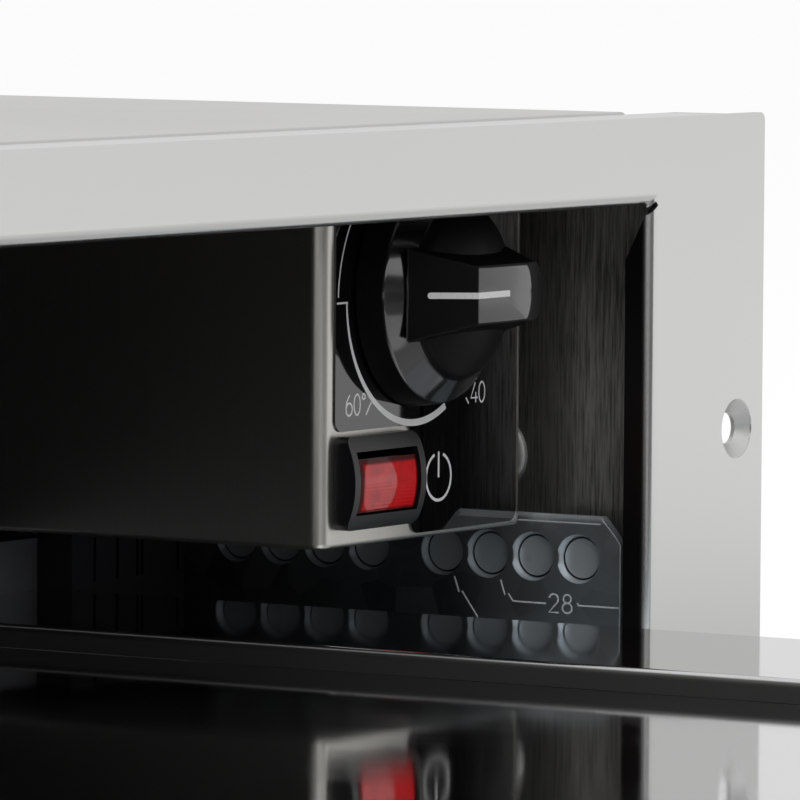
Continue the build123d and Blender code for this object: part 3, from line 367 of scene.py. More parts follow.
def red_lens(name):
    """Clear red moulding over ribs; its borders are painted deep red as shade."""
    finish = Finish(
        name, (0.60, 0.003, 0.006), 0.2, 0.0, Coat_Roughness=0.06, Specular_IOR_Level=0.06
    )
    left, right, low, high = 2.1 * MM, 0.4 * MM, 0.65 * MM, 0.95 * MM
    oval_x, oval_radius = 6.4 * MM, 5.2 * MM
    mottle = finish.noise(420.0, detail=2.0)
    across = finish.axis("X") - LENS_LOW.x
    up = finish.axis("Z") - LENS_LOW.z
    width, height = LENS_HIGH.x - LENS_LOW.x, LENS_HIGH.z - LENS_LOW.z
    wavy = mottle * (0.6 * MM)
    inside = (across + wavy).past(left, 0.5 * MM) * (width - across).past(right, 0.3 * MM)
    inside = inside * (up + wavy).past(low, 0.35 * MM) * (height - up).past(high, 0.35 * MM)
    # Painted shade: the lens turns deep red towards its borders, with a random mottle.
    finish.tint(1.0 - inside * (1.0 - mottle.ramp(0.4, 0.8) * 0.35), (0.06, 0.0008, 0.0016))
    aside = (across - oval_x) / oval_radius
    above = (up - height * 0.5) / oval_radius
    oval = 1.0 - ((aside * aside + above * above) ** 0.5 + mottle * 0.04).past(0.98, 0.05)
    finish.feed("Coat Weight", inside.most(0.25) * oval)
    return finish.material


def ink(name, color):
    finish = Finish(name, color, 0.4, 0.0)
    finish.tint(finish.noise(2200.0, detail=2.0).ramp(0.5, 0.8), [c * 0.86 for c in color])
    return finish.material


def rubber(name):
    finish = Finish(name, (0.025, 0.025, 0.026), 0.72, 0.0)
    dust = finish.noise(120.0, detail=5.0)
    finish.tint(dust.ramp(0.5, 0.85), (0.06, 0.06, 0.058))
    finish.relief(finish.noise(1600.0, detail=2.0), 0.03 * MM, 0.4)
    return finish.material


def bare_metal(name, tone, rough):
    finish = Finish(name, tone, rough, 1.0)
    stain = finish.noise(140.0, detail=5.0)
    finish.tint(stain.ramp(0.4, 0.8), [c * 0.6 for c in tone])
    finish.feed("Roughness", stain * 0.2 + (rough - 0.08))
    finish.relief(finish.noise(1500.0, detail=2.0), 0.02 * MM, 0.4)
    return finish.material


FINISHES = {}


def make_finishes():
    """Every finish of the object, by the name its pieces ask for."""
    FINISHES.update({
        "flange_steel": flange_steel("flange_steel"),
        "wall_steel": wall_steel("wall_steel", (0.86, 0.845, 0.80), (0.24, 0.236, 0.22)),
        # Painted shade: a darker copy of the wall steel, for the left wall that stands in shade.
        "wall_steel_painted_shade": wall_steel("wall_steel_painted_shade", (0.24, 0.236, 0.23), (0.197, 0.194, 0.189)),
        # Painted shade: steel darkened for the cabinet's ceiling and floor liner, which stand in shade.
        "inner_steel_painted_shade": brushed_steel("inner_steel_painted_shade", "Y", (0.24, 0.236, 0.23), 0.34, 0.7),
        "sheet_steel_x": brushed_steel("sheet_steel_x", "X", STEEL, 0.30, 0.7),
        "sheet_steel_y": brushed_steel("sheet_steel_y", "Y", STEEL, 0.34, 0.7),
        "box_steel": brushed_steel("box_steel", "Z", (0.57, 0.56, 0.525), 0.31, 0.5),
        "steel_polished": polished_steel("steel_polished"),
        "steel_zinc": zinc_steel("steel_zinc"),
        "wool": wool_mat("wool"),
        "film_black": gloss_black("film_black"),
        "knob_black": knob_plastic("knob_black"),
        "white_ink": ink("white_ink", (0.78, 0.79, 0.78)),
        "black_satin": moulded("black_satin", (0.007, 0.007, 0.008), 0.34),
        "bezel_black": bezel_black("bezel_black"),
        "red_lens": red_lens("red_lens"),
        "nylon": moulded("nylon", (0.78, 0.78, 0.73), 0.5),
        "rubber_black": rubber("rubber_black"),
        "brass": bare_metal("brass", (0.75, 0.56, 0.27), 0.3),
        "grey_plastic": moulded("grey_plastic", (0.10, 0.105, 0.11), 0.4),
        "cream_plastic": moulded("cream_plastic", (0.74, 0.70, 0.60), 0.45),
        "element_steel": bare_metal("element_steel", (0.24, 0.22, 0.20), 0.5),
        "motor_steel": bare_metal("motor_steel", (0.26, 0.26, 0.27), 0.45),
        # Painted highlight: the pressed marks are given a light colour in place of their shine.
        "etched_painted_highlight": ink("etched_painted_highlight", (0.80, 0.84, 0.86)),
        "stud_steel": bare_metal("stud_steel", (0.50, 0.50, 0.49), 0.42),
        # Painted highlight: light colour for the strokes along the slides' edges.
        "painted_edge_highlight": ink("painted_edge_highlight", (0.62, 0.66, 0.68)),
    })


# Nodes whose finish isn't the one that their material slot is named after
OWN_FINISH = {
    "front_frame": "flange_steel",
    "side_panel_left": "wall_steel_painted_shade",
    "side_panel_right": "wall_steel",
    "top_panel": "sheet_steel_x",
    "ceiling_panel": "inner_steel_painted_shade",
    "floor_liner": "inner_steel_painted_shade",
    "base_pan": "sheet_steel_x",
    "rear_panel": "sheet_steel_x",
    "fan_cover": "sheet_steel_x",
    "control_box": "box_steel",
    "front_fascia": "sheet_steel_x",
    "front_inner": "sheet_steel_x",
    "handle_bar": "sheet_steel_x",
    "handle_posts": "sheet_steel_y",
    "tray_pan": "sheet_steel_y",
    "thermostat_knob": "knob_black",
    "control_film": "film_black",
    "knob_line": "white_ink",
    "switch_housing": "bezel_black",
}


# ------------------------------------------------------------------ mesh helpers
def transform(shape, matrix):
    bmesh.ops.transform(shape, matrix=matrix, verts=shape.verts)
    return shape


def face_out(shape):
    bmesh.ops.remove_doubles(shape, verts=shape.verts, dist=WELD)
    bmesh.ops.recalc_face_normals(shape, faces=shape.faces)
    return shape


def soften(shape, edges, width, segments=3):
    """Round some edges of a shape."""
    bmesh.ops.bevel(
        shape, geom=edges, offset=width, offset_type="OFFSET", segments=segments,
        profile=0.5, affect="EDGES", material=-1, clamp_overlap=True,
    )


def object_of(name, shape):
    """Object at the origin that holds a shape's mesh; the shape is freed."""
    mesh = bpy.data.meshes.new(name)
    shape.to_mesh(mesh)
    shape.free()
    made = bpy.data.objects.new(name, mesh)
    bpy.context.scene.collection.objects.link(made)
    return made


def add_piece(name, shape, finish, body):
    """Finish a shape as a piece of the object that rides on a body."""
    made = object_of(name, face_out(shape))
    made.data.materials.append(finish)
    for face in made.data.polygons:
        face.use_smooth = True
    made.data.set_sharp_from_angle(angle=CREASE)
    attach(made, body)
    return made


def evaluated_shape(source):
    """Bmesh of an object as its modifiers leave it; the object is removed."""
    graph = bpy.context.evaluated_depsgraph_get()
    mesh = bpy.data.meshes.new_from_object(source.evaluated_get(graph))
    shape = bmesh.new()
    shape.from_mesh(mesh)
    bpy.data.meshes.remove(mesh)
    bpy.data.objects.remove(source)
    return shape


def joined(first, second):
    """Two closed shapes made one, without their inner walls."""
    base = object_of("base_shape", face_out(first))
    tool = object_of("tool_shape", face_out(second))
    cut = base.modifiers.new("join", "BOOLEAN")
    cut.operation = "UNION"
    cut.solver = "EXACT"
    cut.object = tool
    shape = evaluated_shape(base)
    bpy.data.objects.remove(tool)
    return shape


def turned(profile, segments=128):
    """Solid of revolution about Z, from its (radius, height) profile."""
    shape = bmesh.new()
    rows = [shape.verts.new((radius * MM, 0.0, height * MM)) for radius, height in profile]
    for pair in zip(rows, rows[1:]):
        shape.edges.new(pair)
    bmesh.ops.spin(
        shape, geom=shape.verts[:] + shape.edges[:], axis=(0, 0, 1), cent=(0, 0, 0),
        dvec=(0, 0, 0), angle=math.tau, steps=segments, use_merge=True,
    )
    return face_out(shape)


def rings_at(shape, radius, height):
    """Edges of a turned shape that lie on one of its rings."""
    wanted = []
    for edge in shape.edges:
        spots = [vert.co for vert in edge.verts]
        level = all(abs(spot.z - height * MM) < WELD for spot in spots)
        far = all(abs(math.hypot(spot.x, spot.y) - radius * MM) < WELD for spot in spots)
        if level and far:
            wanted.append(edge)
    return wanted


def arc(centre, radius_x, radius_y, start, end, steps):
    """Points along an ellipse, with its angles in degrees."""
    points = []
    for step in range(steps + 1):
        angle = math.radians(start + (end - start) * step / steps)
        spot_x = centre[0] + radius_x * math.cos(angle)
        points.append((spot_x, centre[1] + radius_y * math.sin(angle)))
    return points


def strokes(paths, width, place):
    """Pen strokes of one width, flattened, and put in place; sizes in mm."""
    flat = 0.12
    curve = bpy.data.curves.new("strokes", "CURVE")
    curve.dimensions = "3D"
    curve.bevel_depth = width / 2 * MM
    curve.bevel_resolution = 2
    curve.use_fill_caps = True
    for path in paths:
        line = curve.splines.new("POLY")
        line.points.add(len(path) - 1)
        for point, (spot_x, spot_y) in zip(line.points, path):
            point.co = (spot_x * MM, spot_y * MM, 0.0, 1.0)
    drawn = bpy.data.objects.new("strokes", curve)
    bpy.context.scene.collection.objects.link(drawn)
    shape = evaluated_shape(drawn)
    bpy.data.curves.remove(curve)
    transform(shape, Matrix.Diagonal((1.0, 1.0, flat, 1.0)))
    return transform(shape, place)


def on_panel(centre_x, centre_z, proud=0.0):
    """Place of a drawing on the control panel: its Z comes out of the panel."""
    spot = Matrix.Translation((centre_x, FILM_LOW.y - proud, centre_z))
    return spot @ Matrix.Rotation(math.radians(90.0), 4, "X")


def on_slide(side):
    """Place of a drawing on a slide's plate, from its front top corner."""
    columns = Matrix(((0, 0, -side), (-side, 0, 0), (0, 1, 0)))
    plate_x = side * (SIDE_PLATE_X - 0.01 * MM)
    spot = Matrix.Translation((plate_x, PLATE_LOW.y, PLATE_HIGH.z))
    return spot @ columns.to_4x4()


# ------------------------------------------------------------------ digits
def shifted(paths, dx, dy, scale):
    return [[(dx + scale * x, dy + scale * y) for x, y in path] for path in paths]


def mirrored(paths, side):
    return [[(side * x, y) for x, y in path] for path in paths]


def digit(sign):
    """Strokes of one figure in a box one unit high and about 0.62 wide."""
    if sign == "0":
        return [arc((0.31, 0.5), 0.28, 0.5, 0, 360, 36)]
    if sign == "2":
        top = arc((0.31, 0.71), 0.28, 0.29, 165, -30, 16)
        return [top + [(0.02, 0.0), (0.62, 0.0)]]
    if sign == "4":
        return [[(0.40, 1.0), (0.0, 0.24), (0.64, 0.24)], [(0.46, 0.52), (0.46, 0.0)]]
    if sign == "6":
        bowl = arc((0.31, 0.30), 0.28, 0.30, 0, 360, 28)
        stem = arc((0.62, 0.30), 0.59, 0.74, 180, 115, 12)
        return [bowl, stem]
    if sign == "8":
        low = arc((0.31, 0.27), 0.30, 0.27, 0, 360, 28)
        return [low, arc((0.31, 0.77), 0.24, 0.23, 0, 360, 28)]
    if sign == "degree":
        return [arc((0.14, 0.86), 0.13, 0.13, 0, 360, 16)]
    raise ValueError(sign)


def number(signs, left, foot, height, pitch):
    """Strokes of a row of figures, with its lower left corner and sizes in mm."""
    paths = []
    for place, sign in enumerate(signs):
        paths += shifted(digit(sign), left + place * pitch, foot, height)
    return paths


# ------------------------------------------------------------------ operators
class DressNodes(bpy.types.Operator):
    """Give every solid of the model its finish"""

    bl_idname = "drawer.dress_nodes"
    bl_label = "Dress the solids"

    def execute(self, context):
        make_finishes()
        for name, node in NODES.items():
            finish = FINISHES[OWN_FINISH.get(name, SLOTS[name])]
            node.data.materials.clear()
            node.data.materials.append(finish)
        return {"FINISHED"}


class KnobSettings(bpy.types.PropertyGroup):
    """Sizes of the thermostat's knob, in millimetres."""

    grip_height: bpy.props.FloatProperty(
        name="Height", description="Height of the grip's top above the film", default=17.5
    )
    grip_reach: bpy.props.FloatProperty(
        name="Reach", description="From the centre to either end of the grip", default=15.9
    )
    grip_half: bpy.props.FloatProperty(
        name="Half width", description="Half the grip's width at its foot", default=7.6
    )
    grip_foot: bpy.props.FloatProperty(
        name="Foot", description="Height at which the grip's sides start", default=8.0
    )
    ramp_start: bpy.props.FloatProperty(
        name="Ramp", description="From the centre to where the pointer's ramp starts", default=9.2
    )
    line_width: bpy.props.FloatProperty(
        name="Line", description="Width of the white pointer line", default=1.0
    )


def knob_body():
    """Skirted base, cone and low dome of the knob, standing on the film."""
    rim, shoulder, brow = (18.2, 5.2), (14.3, 8.3), (13.6, 9.8)
    profile = [(0, 0.5), (18.9, 0.5), rim, shoulder, brow, (9.0, 12.1), (4.5, 13.2), (0, 13.5)]
    body = turned(profile)
    soften(body, rings_at(body, *rim), 0.45 * MM, 4)
    soften(body, rings_at(body, *shoulder), 0.35 * MM)
    soften(body, rings_at(body, *brow), 0.6 * MM, 4)
    return body


def knob_grip(sizes):
    """Drafted bar with a ramp at its pointer end and a crowned top."""
    draft = math.tan(math.radians(17.0))
    rise = sizes.grip_height - sizes.grip_foot
    grip = bmesh.new()
    bmesh.ops.create_cube(grip, size=2.0)
    for vert in grip.verts:
        top = vert.co.z > 0
        inset = rise * draft if top else 0.0
        vert.co.x *= sizes.grip_reach - inset
        vert.co.y *= sizes.grip_half - inset
        vert.co.z = sizes.grip_height if top else sizes.grip_foot
    far = [
        edge for edge in grip.edges
        if all(vert.co.x > 0 for vert in edge.verts)
        and abs(edge.verts[0].co.z - edge.verts[1].co.z) > rise / 2
    ]
    end_radius = 5.6
    soften(grip, far, end_radius, 12)
    crown_grip(grip, sizes)
    slope = rise / (sizes.grip_reach - sizes.ramp_start)
    cut = bmesh.ops.bisect_plane(
        grip, geom=grip.verts[:] + grip.edges[:] + grip.faces[:], dist=WELD / MM,
        plane_co=(-sizes.ramp_start, 0.0, sizes.grip_height), plane_no=(-slope, 0.0, 1.0),
        clear_outer=True,
    )
    rim = [item for item in cut["geom_cut"] if isinstance(item, bmesh.types.BMEdge)]
    bmesh.ops.holes_fill(grip, edges=rim, sides=0)
    rim = [edge for edge in rim if edge.is_valid]
    soften(grip, rim, 0.35, 3)
    return transform(face_out(grip), Matrix.Scale(MM, 4))


def crown_grip(grip, sizes):
    """Leave a D-shaped flat on the grip's top and let the rest fall away from it."""
    crown_end, flat_end, flat_half, rim = 2.6, 6.9, 4.2, 0.45
    level = sizes.grip_height - 0.01
    tops = [face for face in grip.faces if face.calc_center_median().z > level]
    bmesh.ops.inset_region(grip, faces=tops, thickness=rim, depth=0.0, use_even_offset=True)
    inner = {vert for face in tops for vert in face.verts}
    high = {vert for vert in grip.verts if vert.co.z > level}
    bar_end = max(vert.co.x for vert in inner)
    for vert in inner:
        if vert.co.x > crown_end:
            share = (vert.co.x - crown_end) / (bar_end - crown_end)
            vert.co.x = crown_end + share * (flat_end - crown_end)
    fall = math.tan(math.radians(13.0))
    for vert in high - inner:
        flat_x = min(vert.co.x, crown_end)
        across = max(abs(vert.co.y) - flat_half, 0.0)
        beyond = max(vert.co.x - flat_x - (flat_end - crown_end), 0.0)
        vert.co.z -= fall * math.hypot(across, beyond)


def pointer_strip(sizes):
    """White line let into the ramp and the top, a hair proud of them."""
    slope = (sizes.grip_height - sizes.grip_foot) / (sizes.grip_reach - sizes.ramp_start)
    start, end, proud = 13.9, 0.4, 0.05
    foot = sizes.grip_height - slope * (start - sizes.ramp_start)
    path = [(-start, foot), (-sizes.ramp_start, sizes.grip_height), (end, sizes.grip_height)]
    strip = bmesh.new()
    half = sizes.line_width / 2
    near = [strip.verts.new((x, -half, z + proud)) for x, z in path]
    away = [strip.verts.new((x, half, z + proud)) for x, z in path]
    for step in range(len(path) - 1):
        strip.faces.new((near[step], near[step + 1], away[step + 1], away[step]))
    for place, share, segments in ((0, 0.9, 5), (-1, 0.3, 3)):
        bmesh.ops.bevel(
            strip, geom=[near[place], away[place]], offset=half * share, segments=segments,
            profile=0.5, affect="VERTICES", material=-1, offset_type="OFFSET",
        )
    bmesh.ops.solidify(strip, geom=strip.faces[:], thickness=0.25)
    return transform(face_out(strip), Matrix.Scale(MM, 4))


class MakeKnob(bpy.types.Operator):
    """Thermostat knob with its grip, and the white pointer line on it"""

    bl_idname = "drawer.make_knob"
    bl_label = "Make the knob"

    def execute(self, context):
        sizes = context.scene.drawer_knob
        place = on_panel(KNOB_POINT.x, KNOB_POINT.z)
        shape = transform(joined(knob_body(), knob_grip(sizes)), place)
        knob = add_piece(
            "knob_skin", shape, FINISHES["knob_black"], "knob"
        )
        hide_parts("thermostat_knob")
        strip = transform(pointer_strip(sizes), place)
        line = add_piece("pointer_line", strip, FINISHES["white_ink"], "knob")
        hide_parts("knob_line")
        return {"FINISHED"}


class DialSettings(bpy.types.PropertyGroup):
    """Sizes of the print on the control panel, in millimetres."""

    drop: bpy.props.FloatProperty(
        name="Drop", description="How far the dial's centre lies under the knob's axis", default=1.1
    )
    band_radius: bpy.props.FloatProperty(
        name="Band radius", description="Outer radius of the dial's wedge", default=20.95
    )
    band_width: bpy.props.FloatProperty(
        name="Band width", description="Width of the wedge at its thick end", default=1.15
    )
    line_radius: bpy.props.FloatProperty(
        name="Line radius", description="Radius of the thin line", default=23.3
    )
    pen: bpy.props.FloatProperty(
        name="Pen", description="Width of the thin strokes", default=0.32
    )
    figure_height: bpy.props.FloatProperty(
        name="Figures", description="Height of the dial's figures", default=3.3
    )


def dial_band(sizes):
    """Wedge round the dial that thins from its warm end to its cool end."""
    start, end, steps, thinned = -63.0, -180.0, 72, 0.66
    radius = sizes.band_radius * MM
    band = bmesh.new()
    turn = Matrix.Rotation(math.radians(start), 3, "Z")
    outer = band.verts.new(turn @ Vector((radius, 0, 0)))
    inner = band.verts.new(turn @ Vector((radius - sizes.band_width * MM, 0, 0)))
    bmesh.ops.spin(
        band, geom=[outer, inner, band.edges.new((outer, inner))], axis=(0, 0, 1),
        cent=(0, 0, 0), dvec=(0, 0, 0), angle=math.radians(end - start), steps=steps,
    )
    for vert in band.verts:
        reach = math.hypot(vert.co.x, vert.co.y)
        if reach < radius - sizes.band_width * MM / 2:
            angle = math.degrees(math.atan2(vert.co.y, vert.co.x)) % 360.0 - 360.0
            share = (angle - start) / (end - start)
            width = sizes.band_width * (1.0 - thinned * share ** 2) * MM
            vert.co *= (radius - width) / reach
    bmesh.ops.solidify(band, geom=band.faces[:], thickness=0.03 * MM)
    return band


def spoke(radius_in, radius_out, angle):
    turn = math.radians(angle)
    return [(r * math.cos(turn), r * math.sin(turn)) for r in (radius_in, radius_out)]


class PrintDial(bpy.types.Operator):
    """White print round the knob: wedge, thin line, ticks, figures, and the on-off mark"""

    bl_idname = "drawer.print_dial"
    bl_label = "Print the dial"

    def execute(self, context):
        sizes = context.scene.drawer_dial
        place = on_panel(KNOB_POINT.x, KNOB_POINT.z - sizes.drop * MM, 0.01 * MM)
        ink_finish = FINISHES["white_ink"]
        add_piece("dial_band", transform(dial_band(sizes), place), ink_finish, "cabinet")
        radius = sizes.line_radius
        lines = [
            arc((0, 0), radius, radius, 178, 100, 40),
            spoke(20.5, 23.7, 180.3),
            spoke(21.0, 23.6, -129.0),
            spoke(23.3, 24.6, -47.8),
        ]
        shape = strokes(lines, sizes.pen, place)
        add_piece("dial_lines", shape, ink_finish, "cabinet")
        tall, foot = sizes.figure_height, -18.2
        pitch = 0.72 * tall
        figures = number(["6", "0"], -20.9, foot, tall, pitch)
        figures += number(["degree"], -16.0, foot, tall, pitch)
        figures += number(["4", "0"], 17.2, foot, tall, pitch)
        shape = strokes(figures, sizes.pen, place)
        add_piece("dial_figures", shape, ink_finish, "cabinet")
        mark_radius, mark_pen, mark_aside, mark_drop = 3.82, 0.5, 7.35 * MM, 30.76 * MM
        ring = arc((0, 0), mark_radius, mark_radius, 110, 430, 40)
        spot = on_panel(KNOB_POINT.x + mark_aside, KNOB_POINT.z - mark_drop, 0.01 * MM)
        shape = strokes([ring, [(0.0, 4.1), (0.0, -0.1)]], mark_pen, spot)
        add_piece("power_mark", shape, ink_finish, "cabinet")
        return {"FINISHED"}


class MarkSlides(bpy.types.Operator):
    """Engraved distance and its leader lines, lightened as a painted highlight, and painted highlights along the
    edges of both slides
    """

    bl_idname = "drawer.mark_slides"
    bl_label = "Mark the slides"

    def execute(self, context):
        pen, edge_pen = 0.3, 0.24
        tall, foot, pitch = 3.05, -16.3, 2.6
        leaders = [
            [(-23.1, -11.4), (-22.25, -13.9)],
            [(-21.6, -13.6), (-20.65, -14.85), (-14.3, -14.9)],
            [(-8.25, -14.5), (-8.0, -14.9), (-0.2, -14.9)],
            [(-32.1, -11.3), (-31.2, -13.9)],
            [(-30.6, -13.7), (-27.5, -17.9)],
        ]
        # Painted highlights: light strokes along each plate's nose and its top bend.
        nose_highlight = [(-0.13, -45.0), (-0.13, -4.5), (-1.2, -3.0), (-3.75, -0.35)]
        bend_highlight = [(-3.9, -1.25), (-120.0, -1.25)]
        for side, name, figures_left in ((1, "right", -13.75), (-1, "left", 9.0)):
            figures = number(["2", "8"], figures_left, foot, tall, pitch)
            # The marks are real; their light colour is a painted highlight.
            shape = strokes(figures + mirrored(leaders, side), pen, on_slide(side))
            add_piece(
                "slide_marks_" + name, shape, FINISHES["etched_painted_highlight"], "cabinet",
            )
            shape = strokes(mirrored([nose_highlight, bend_highlight], side), edge_pen, on_slide(side))
            add_piece(
                "slide_edge_highlight_" + name, shape, FINISHES["painted_edge_highlight"], "cabinet",
            )
        return {"FINISHED"}


class StudSettings(bpy.types.PropertyGroup):
    """Sizes and place of the studs on the inside of the side walls, in millimetres."""

    radius: bpy.props.FloatProperty(
        name="Radius", description="Radius of the stud's round head", default=6.75
    )
    height: bpy.props.FloatProperty(
        name="Height", description="How far the head stands off the wall", default=1.8
    )
    behind: bpy.props.FloatProperty(
        name="Behind", description="From the cabinet's front to its centre", default=37.0
    )
    level: bpy.props.FloatProperty(
        name="Level", description="Height of its centre above the base", default=78.6
    )


class MakeStuds(bpy.types.Operator):
    """Round-headed stud that holds the wall's lining, on both sides"""

    bl_idname = "drawer.make_studs"
    bl_label = "Make the studs"

    def execute(self, context):
        sizes = context.scene.drawer_stud
        dome = arc((0.0, 0.0), sizes.radius, sizes.height, 0.0, 90.0, 10)
        profile = [(0.0, 0.0), *dome[:-1], (0.0, sizes.height)]
        for side, name in ((1, "right"), (-1, "left")):
            shape = turned(profile, 48)
            spot = Matrix.Translation(
                (side * WALL_X, FRAME_LOW.y + sizes.behind * MM, sizes.level * MM)
            )
            transform(shape, spot @ Matrix.Rotation(math.radians(-90.0 * side), 4, "Y"))
            add_piece(
                "wall_stud_" + name, shape, FINISHES["stud_steel"], "cabinet",
            )
        return {"FINISHED"}


class MakeLens(bpy.types.Operator):
    """Red lens of the rocker switch, crowned and ribbed"""

    bl_idname = "drawer.make_lens"
    bl_label = "Make the lens"

    def execute(self, context):
        rib_pitch, rib_depth, rib_top, rib_fade = 0.6 * MM, 0.012 * MM, 1.2 * MM, 1.5 * MM
        half_z, wall, clear = 4.3 * MM, 2.0 * MM, 0.02 * MM
        half_x = (LENS_HIGH.x - LENS_LOW.x) / 2
        crown = SWITCH_POINT.y - LENS_LOW.y
        half_angle = math.asin(half_z / crown)
        middle_x = (LENS_LOW.x + LENS_HIGH.x) / 2
        lean = math.radians(2.0)
        shape = bmesh.new()
        bmesh.ops.create_grid(shape, x_segments=8, y_segments=200, size=1.0)
        for vert in shape.verts:
            angle = vert.co.y * half_angle
            height = crown * math.sin(angle)
            ripple = rib_depth * max(0.0, math.sin(math.tau * height / rib_pitch))
            faded = min(1.0, max(0.0, (rib_top - height) / rib_fade))
            reach = crown - clear - ripple * faded
            tilt = angle - lean
            vert.co.x = middle_x + vert.co.x * half_x
            vert.co.y = SWITCH_POINT.y - reach * math.cos(tilt)
            vert.co.z = SWITCH_POINT.z + reach * math.sin(tilt)
        bmesh.ops.recalc_face_normals(shape, faces=shape.faces)
        bmesh.ops.solidify(shape, geom=shape.faces[:], thickness=wall)
        lens = add_piece("lens_skin", shape, FINISHES["red_lens"], "rocker")
        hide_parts("rocker_lens")
        return {"FINISHED"}


class StudioSettings(bpy.types.PropertyGroup):
    """Camera, floor and light of the studio."""

    lens: bpy.props.FloatProperty(
        name="Lens", description="Focal length on a 36 mm sensor", default=356.98, unit="CAMERA"
    )
    camera_place: bpy.props.FloatVectorProperty(
        name="Camera place",
        description="Where the camera stands",
        default=(-0.8576, -0.9316, 0.1796),
        subtype="TRANSLATION",
        unit="LENGTH",
    )
    camera_azimuth: bpy.props.FloatProperty(
        name="Azimuth", description="Turn from +Y towards +X", default=math.radians(57.952),
        subtype="ANGLE",
    )
    camera_tilt: bpy.props.FloatProperty(
        name="Tilt", description="How far it looks down", default=math.radians(3.982),
        subtype="ANGLE",
    )
    camera_roll: bpy.props.FloatProperty(
        name="Roll", description="Turn about its own axis", default=math.radians(0.394),
        subtype="ANGLE",
    )
    floor_color: bpy.props.FloatVectorProperty(
        name="Floor", description="Colour of the floor", default=(0.80, 0.80, 0.80),
        subtype="COLOR",
    )
    room_light: bpy.props.FloatProperty(
        name="Room light", description="Strength of the even light from all around", default=0.55
    )
    dim_side: bpy.props.FloatProperty(
        name="Dim side", description="How bright mirrors see the room behind the camera",
        default=0.12,
    )


def camera_turn(settings):
    azimuth, tilt = settings.camera_azimuth, settings.camera_tilt
    look = Vector(
        (
            math.sin(azimuth) * math.cos(tilt),
            math.cos(azimuth) * math.cos(tilt),
            -math.sin(tilt),
        )
    )
    right = Vector((math.cos(azimuth), -math.sin(azimuth), 0.0))
    up = right.cross(look)
    cosine, sine = math.cos(settings.camera_roll), math.sin(settings.camera_roll)
    x_axis = right * cosine + up * sine
    y_axis = up * cosine - right * sine
    return Matrix((x_axis, y_axis, -look)).transposed()


def add_camera(settings):
    data = bpy.data.cameras.new("photo_camera")
    data.lens = settings.lens
    data.sensor_width = 36.0
    data.clip_start = 0.01
    data.clip_end = 50.0
    camera = bpy.data.objects.new("photo_camera", data)
    bpy.context.scene.collection.objects.link(camera)
    camera.matrix_world = Matrix.Translation(settings.camera_place) @ camera_turn(settings).to_4x4()
    bpy.context.scene.camera = camera


def add_softbox(name, centre, aim, width, height, power):
    data = bpy.data.lights.new(name, "AREA")
    data.shape = "RECTANGLE"
    data.size = width
    data.size_y = height
    data.energy = power
    lamp = bpy.data.objects.new(name, data)
    bpy.context.scene.collection.objects.link(lamp)
    lamp.location = centre
    lamp.rotation_euler = (Vector(aim) - Vector(centre)).to_track_quat("-Z", "Y").to_euler()


# Rays that see the studio as white; all others see it as it lights the object
BRIGHT_RAYS = ("Camera", "Glossy", "Transmission")


def add_floor(color):
    """Pale floor that shows white where nothing shades it, and keeps the shadows."""
    near, far, dimmest, whitest = 0.7, 1.3, 0.2, 0.8
    shape = bmesh.new()
    bmesh.ops.create_circle(shape, cap_ends=True, radius=40.0, segments=64)
    floor = object_of("floor", shape)
    finish = Finish("floor_paint", color, 0.9, Specular_IOR_Level=0.0)
    finish.tint(finish.noise(1.5).ramp(0.3, 0.8), [c * 0.97 for c in color])
    spot = finish.node("ShaderNodeTexCoord", output="Object")
    reach = finish.node("ShaderNodeVectorMath", {"operation": "LENGTH"}, [spot], "Value")
    # Painted shade: mirrors see less of the floor's glow near the object.
    mirror_glow_painted_shade = reach.ramp(near, far) * (whitest - dimmest) + dimmest
    share = finish.rays(*BRIGHT_RAYS) * (finish.rays("Camera") * whitest).most(mirror_glow_painted_shade)
    glow = finish.node("ShaderNodeEmission", inputs={"Strength": 1.12})
    lit = finish.mixed(share, Value(finish, finish.shader.outputs[0]), glow)
    finish.tree.links.new(lit.socket, finish.output.inputs[0])
    floor.data.materials.append(finish.material)


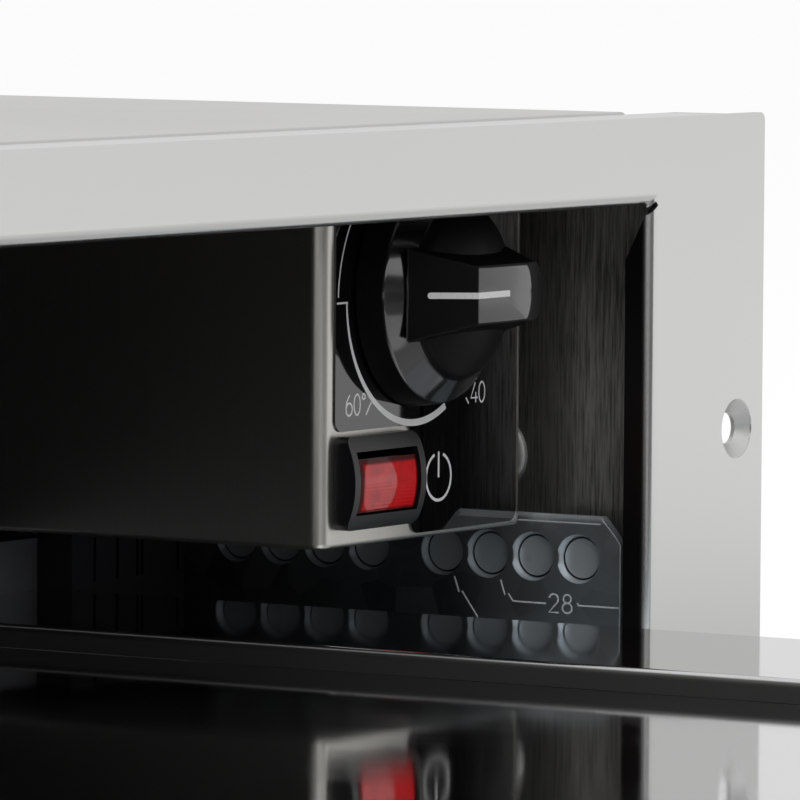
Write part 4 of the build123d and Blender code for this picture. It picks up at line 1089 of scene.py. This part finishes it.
def add_world(settings):
    """Even light, with a white backdrop all round the far side for eyes and mirrors."""
    world = bpy.data.worlds.new("studio")
    bpy.context.scene.world = world
    world.use_nodes = True
    room = Nodes(world.node_tree)

    def sky(strength):
        return room.node("ShaderNodeBackground", inputs={"Strength": strength})

    dim_end, white_start = -0.85, -0.35
    azimuth = settings.camera_azimuth
    view = (math.sin(azimuth), math.cos(azimuth), 0.0)
    spot = room.node("ShaderNodeTexCoord", output="Generated")
    toward = room.node("ShaderNodeVectorMath", {"operation": "DOT_PRODUCT"}, [spot, view], "Value")
    white = sky(1.0)
    seen = room.mixed(toward.ramp(dim_end, white_start), sky(settings.dim_side), white)
    seen = room.mixed(room.rays("Camera"), seen, white)
    lit = room.mixed(room.rays(*BRIGHT_RAYS), sky(settings.room_light), seen)
    output = room.tree.nodes.new("ShaderNodeOutputWorld")
    room.tree.links.new(lit.socket, output.inputs[0])


class SetStudio(bpy.types.Operator):
    """Camera, floor, background and soft light"""

    bl_idname = "drawer.set_studio"
    bl_label = "Set the studio"

    def execute(self, context):
        settings = context.scene.drawer_studio
        add_camera(settings)
        add_floor(settings.floor_color)
        add_world(settings)
        add_softbox("top_softbox", (-0.6, -0.8, 2.6), (0.0, -0.2, 0.0), 2.6, 2.6, 28.0)
        add_softbox("front_softbox", (-1.2, -2.6, 1.4), (0.1, -0.3, 0.1), 2.0, 1.6, 14.0)
        bpy.context.scene.view_settings.view_transform = "Standard"
        return {"FINISHED"}


class DrawerPanel(bpy.types.Panel):
    """The drawer's operators, in the order that they run in"""

    bl_idname = "VIEW3D_PT_warming_drawer"
    bl_label = "Warming drawer"
    bl_space_type = "VIEW_3D"
    bl_region_type = "UI"
    bl_category = "Drawer"

    def draw(self, context):
        for operator in OPERATORS:
            self.layout.operator(operator.bl_idname)


OPERATORS = (DressNodes, MakeKnob, PrintDial, MarkSlides, MakeStuds, MakeLens, SetStudio)
SETTINGS = {
    "drawer_knob": KnobSettings,
    "drawer_dial": DialSettings,
    "drawer_stud": StudSettings,
    "drawer_studio": StudioSettings,
}


def register():
    for cls in (*SETTINGS.values(), *OPERATORS, DrawerPanel):
        bpy.utils.register_class(cls)
    for name, group in SETTINGS.items():
        setattr(bpy.types.Scene, name, bpy.props.PointerProperty(type=group))


def unregister():
    for name in SETTINGS:
        delattr(bpy.types.Scene, name)
    for cls in (DrawerPanel, *reversed(OPERATORS), *reversed(SETTINGS.values())):
        bpy.utils.unregister_class(cls)


def main():
    register()
    for operator in OPERATORS:
        group, name = operator.bl_idname.split(".")
        getattr(getattr(bpy.ops, group), name)()


if __name__ == "__main__":
    main()
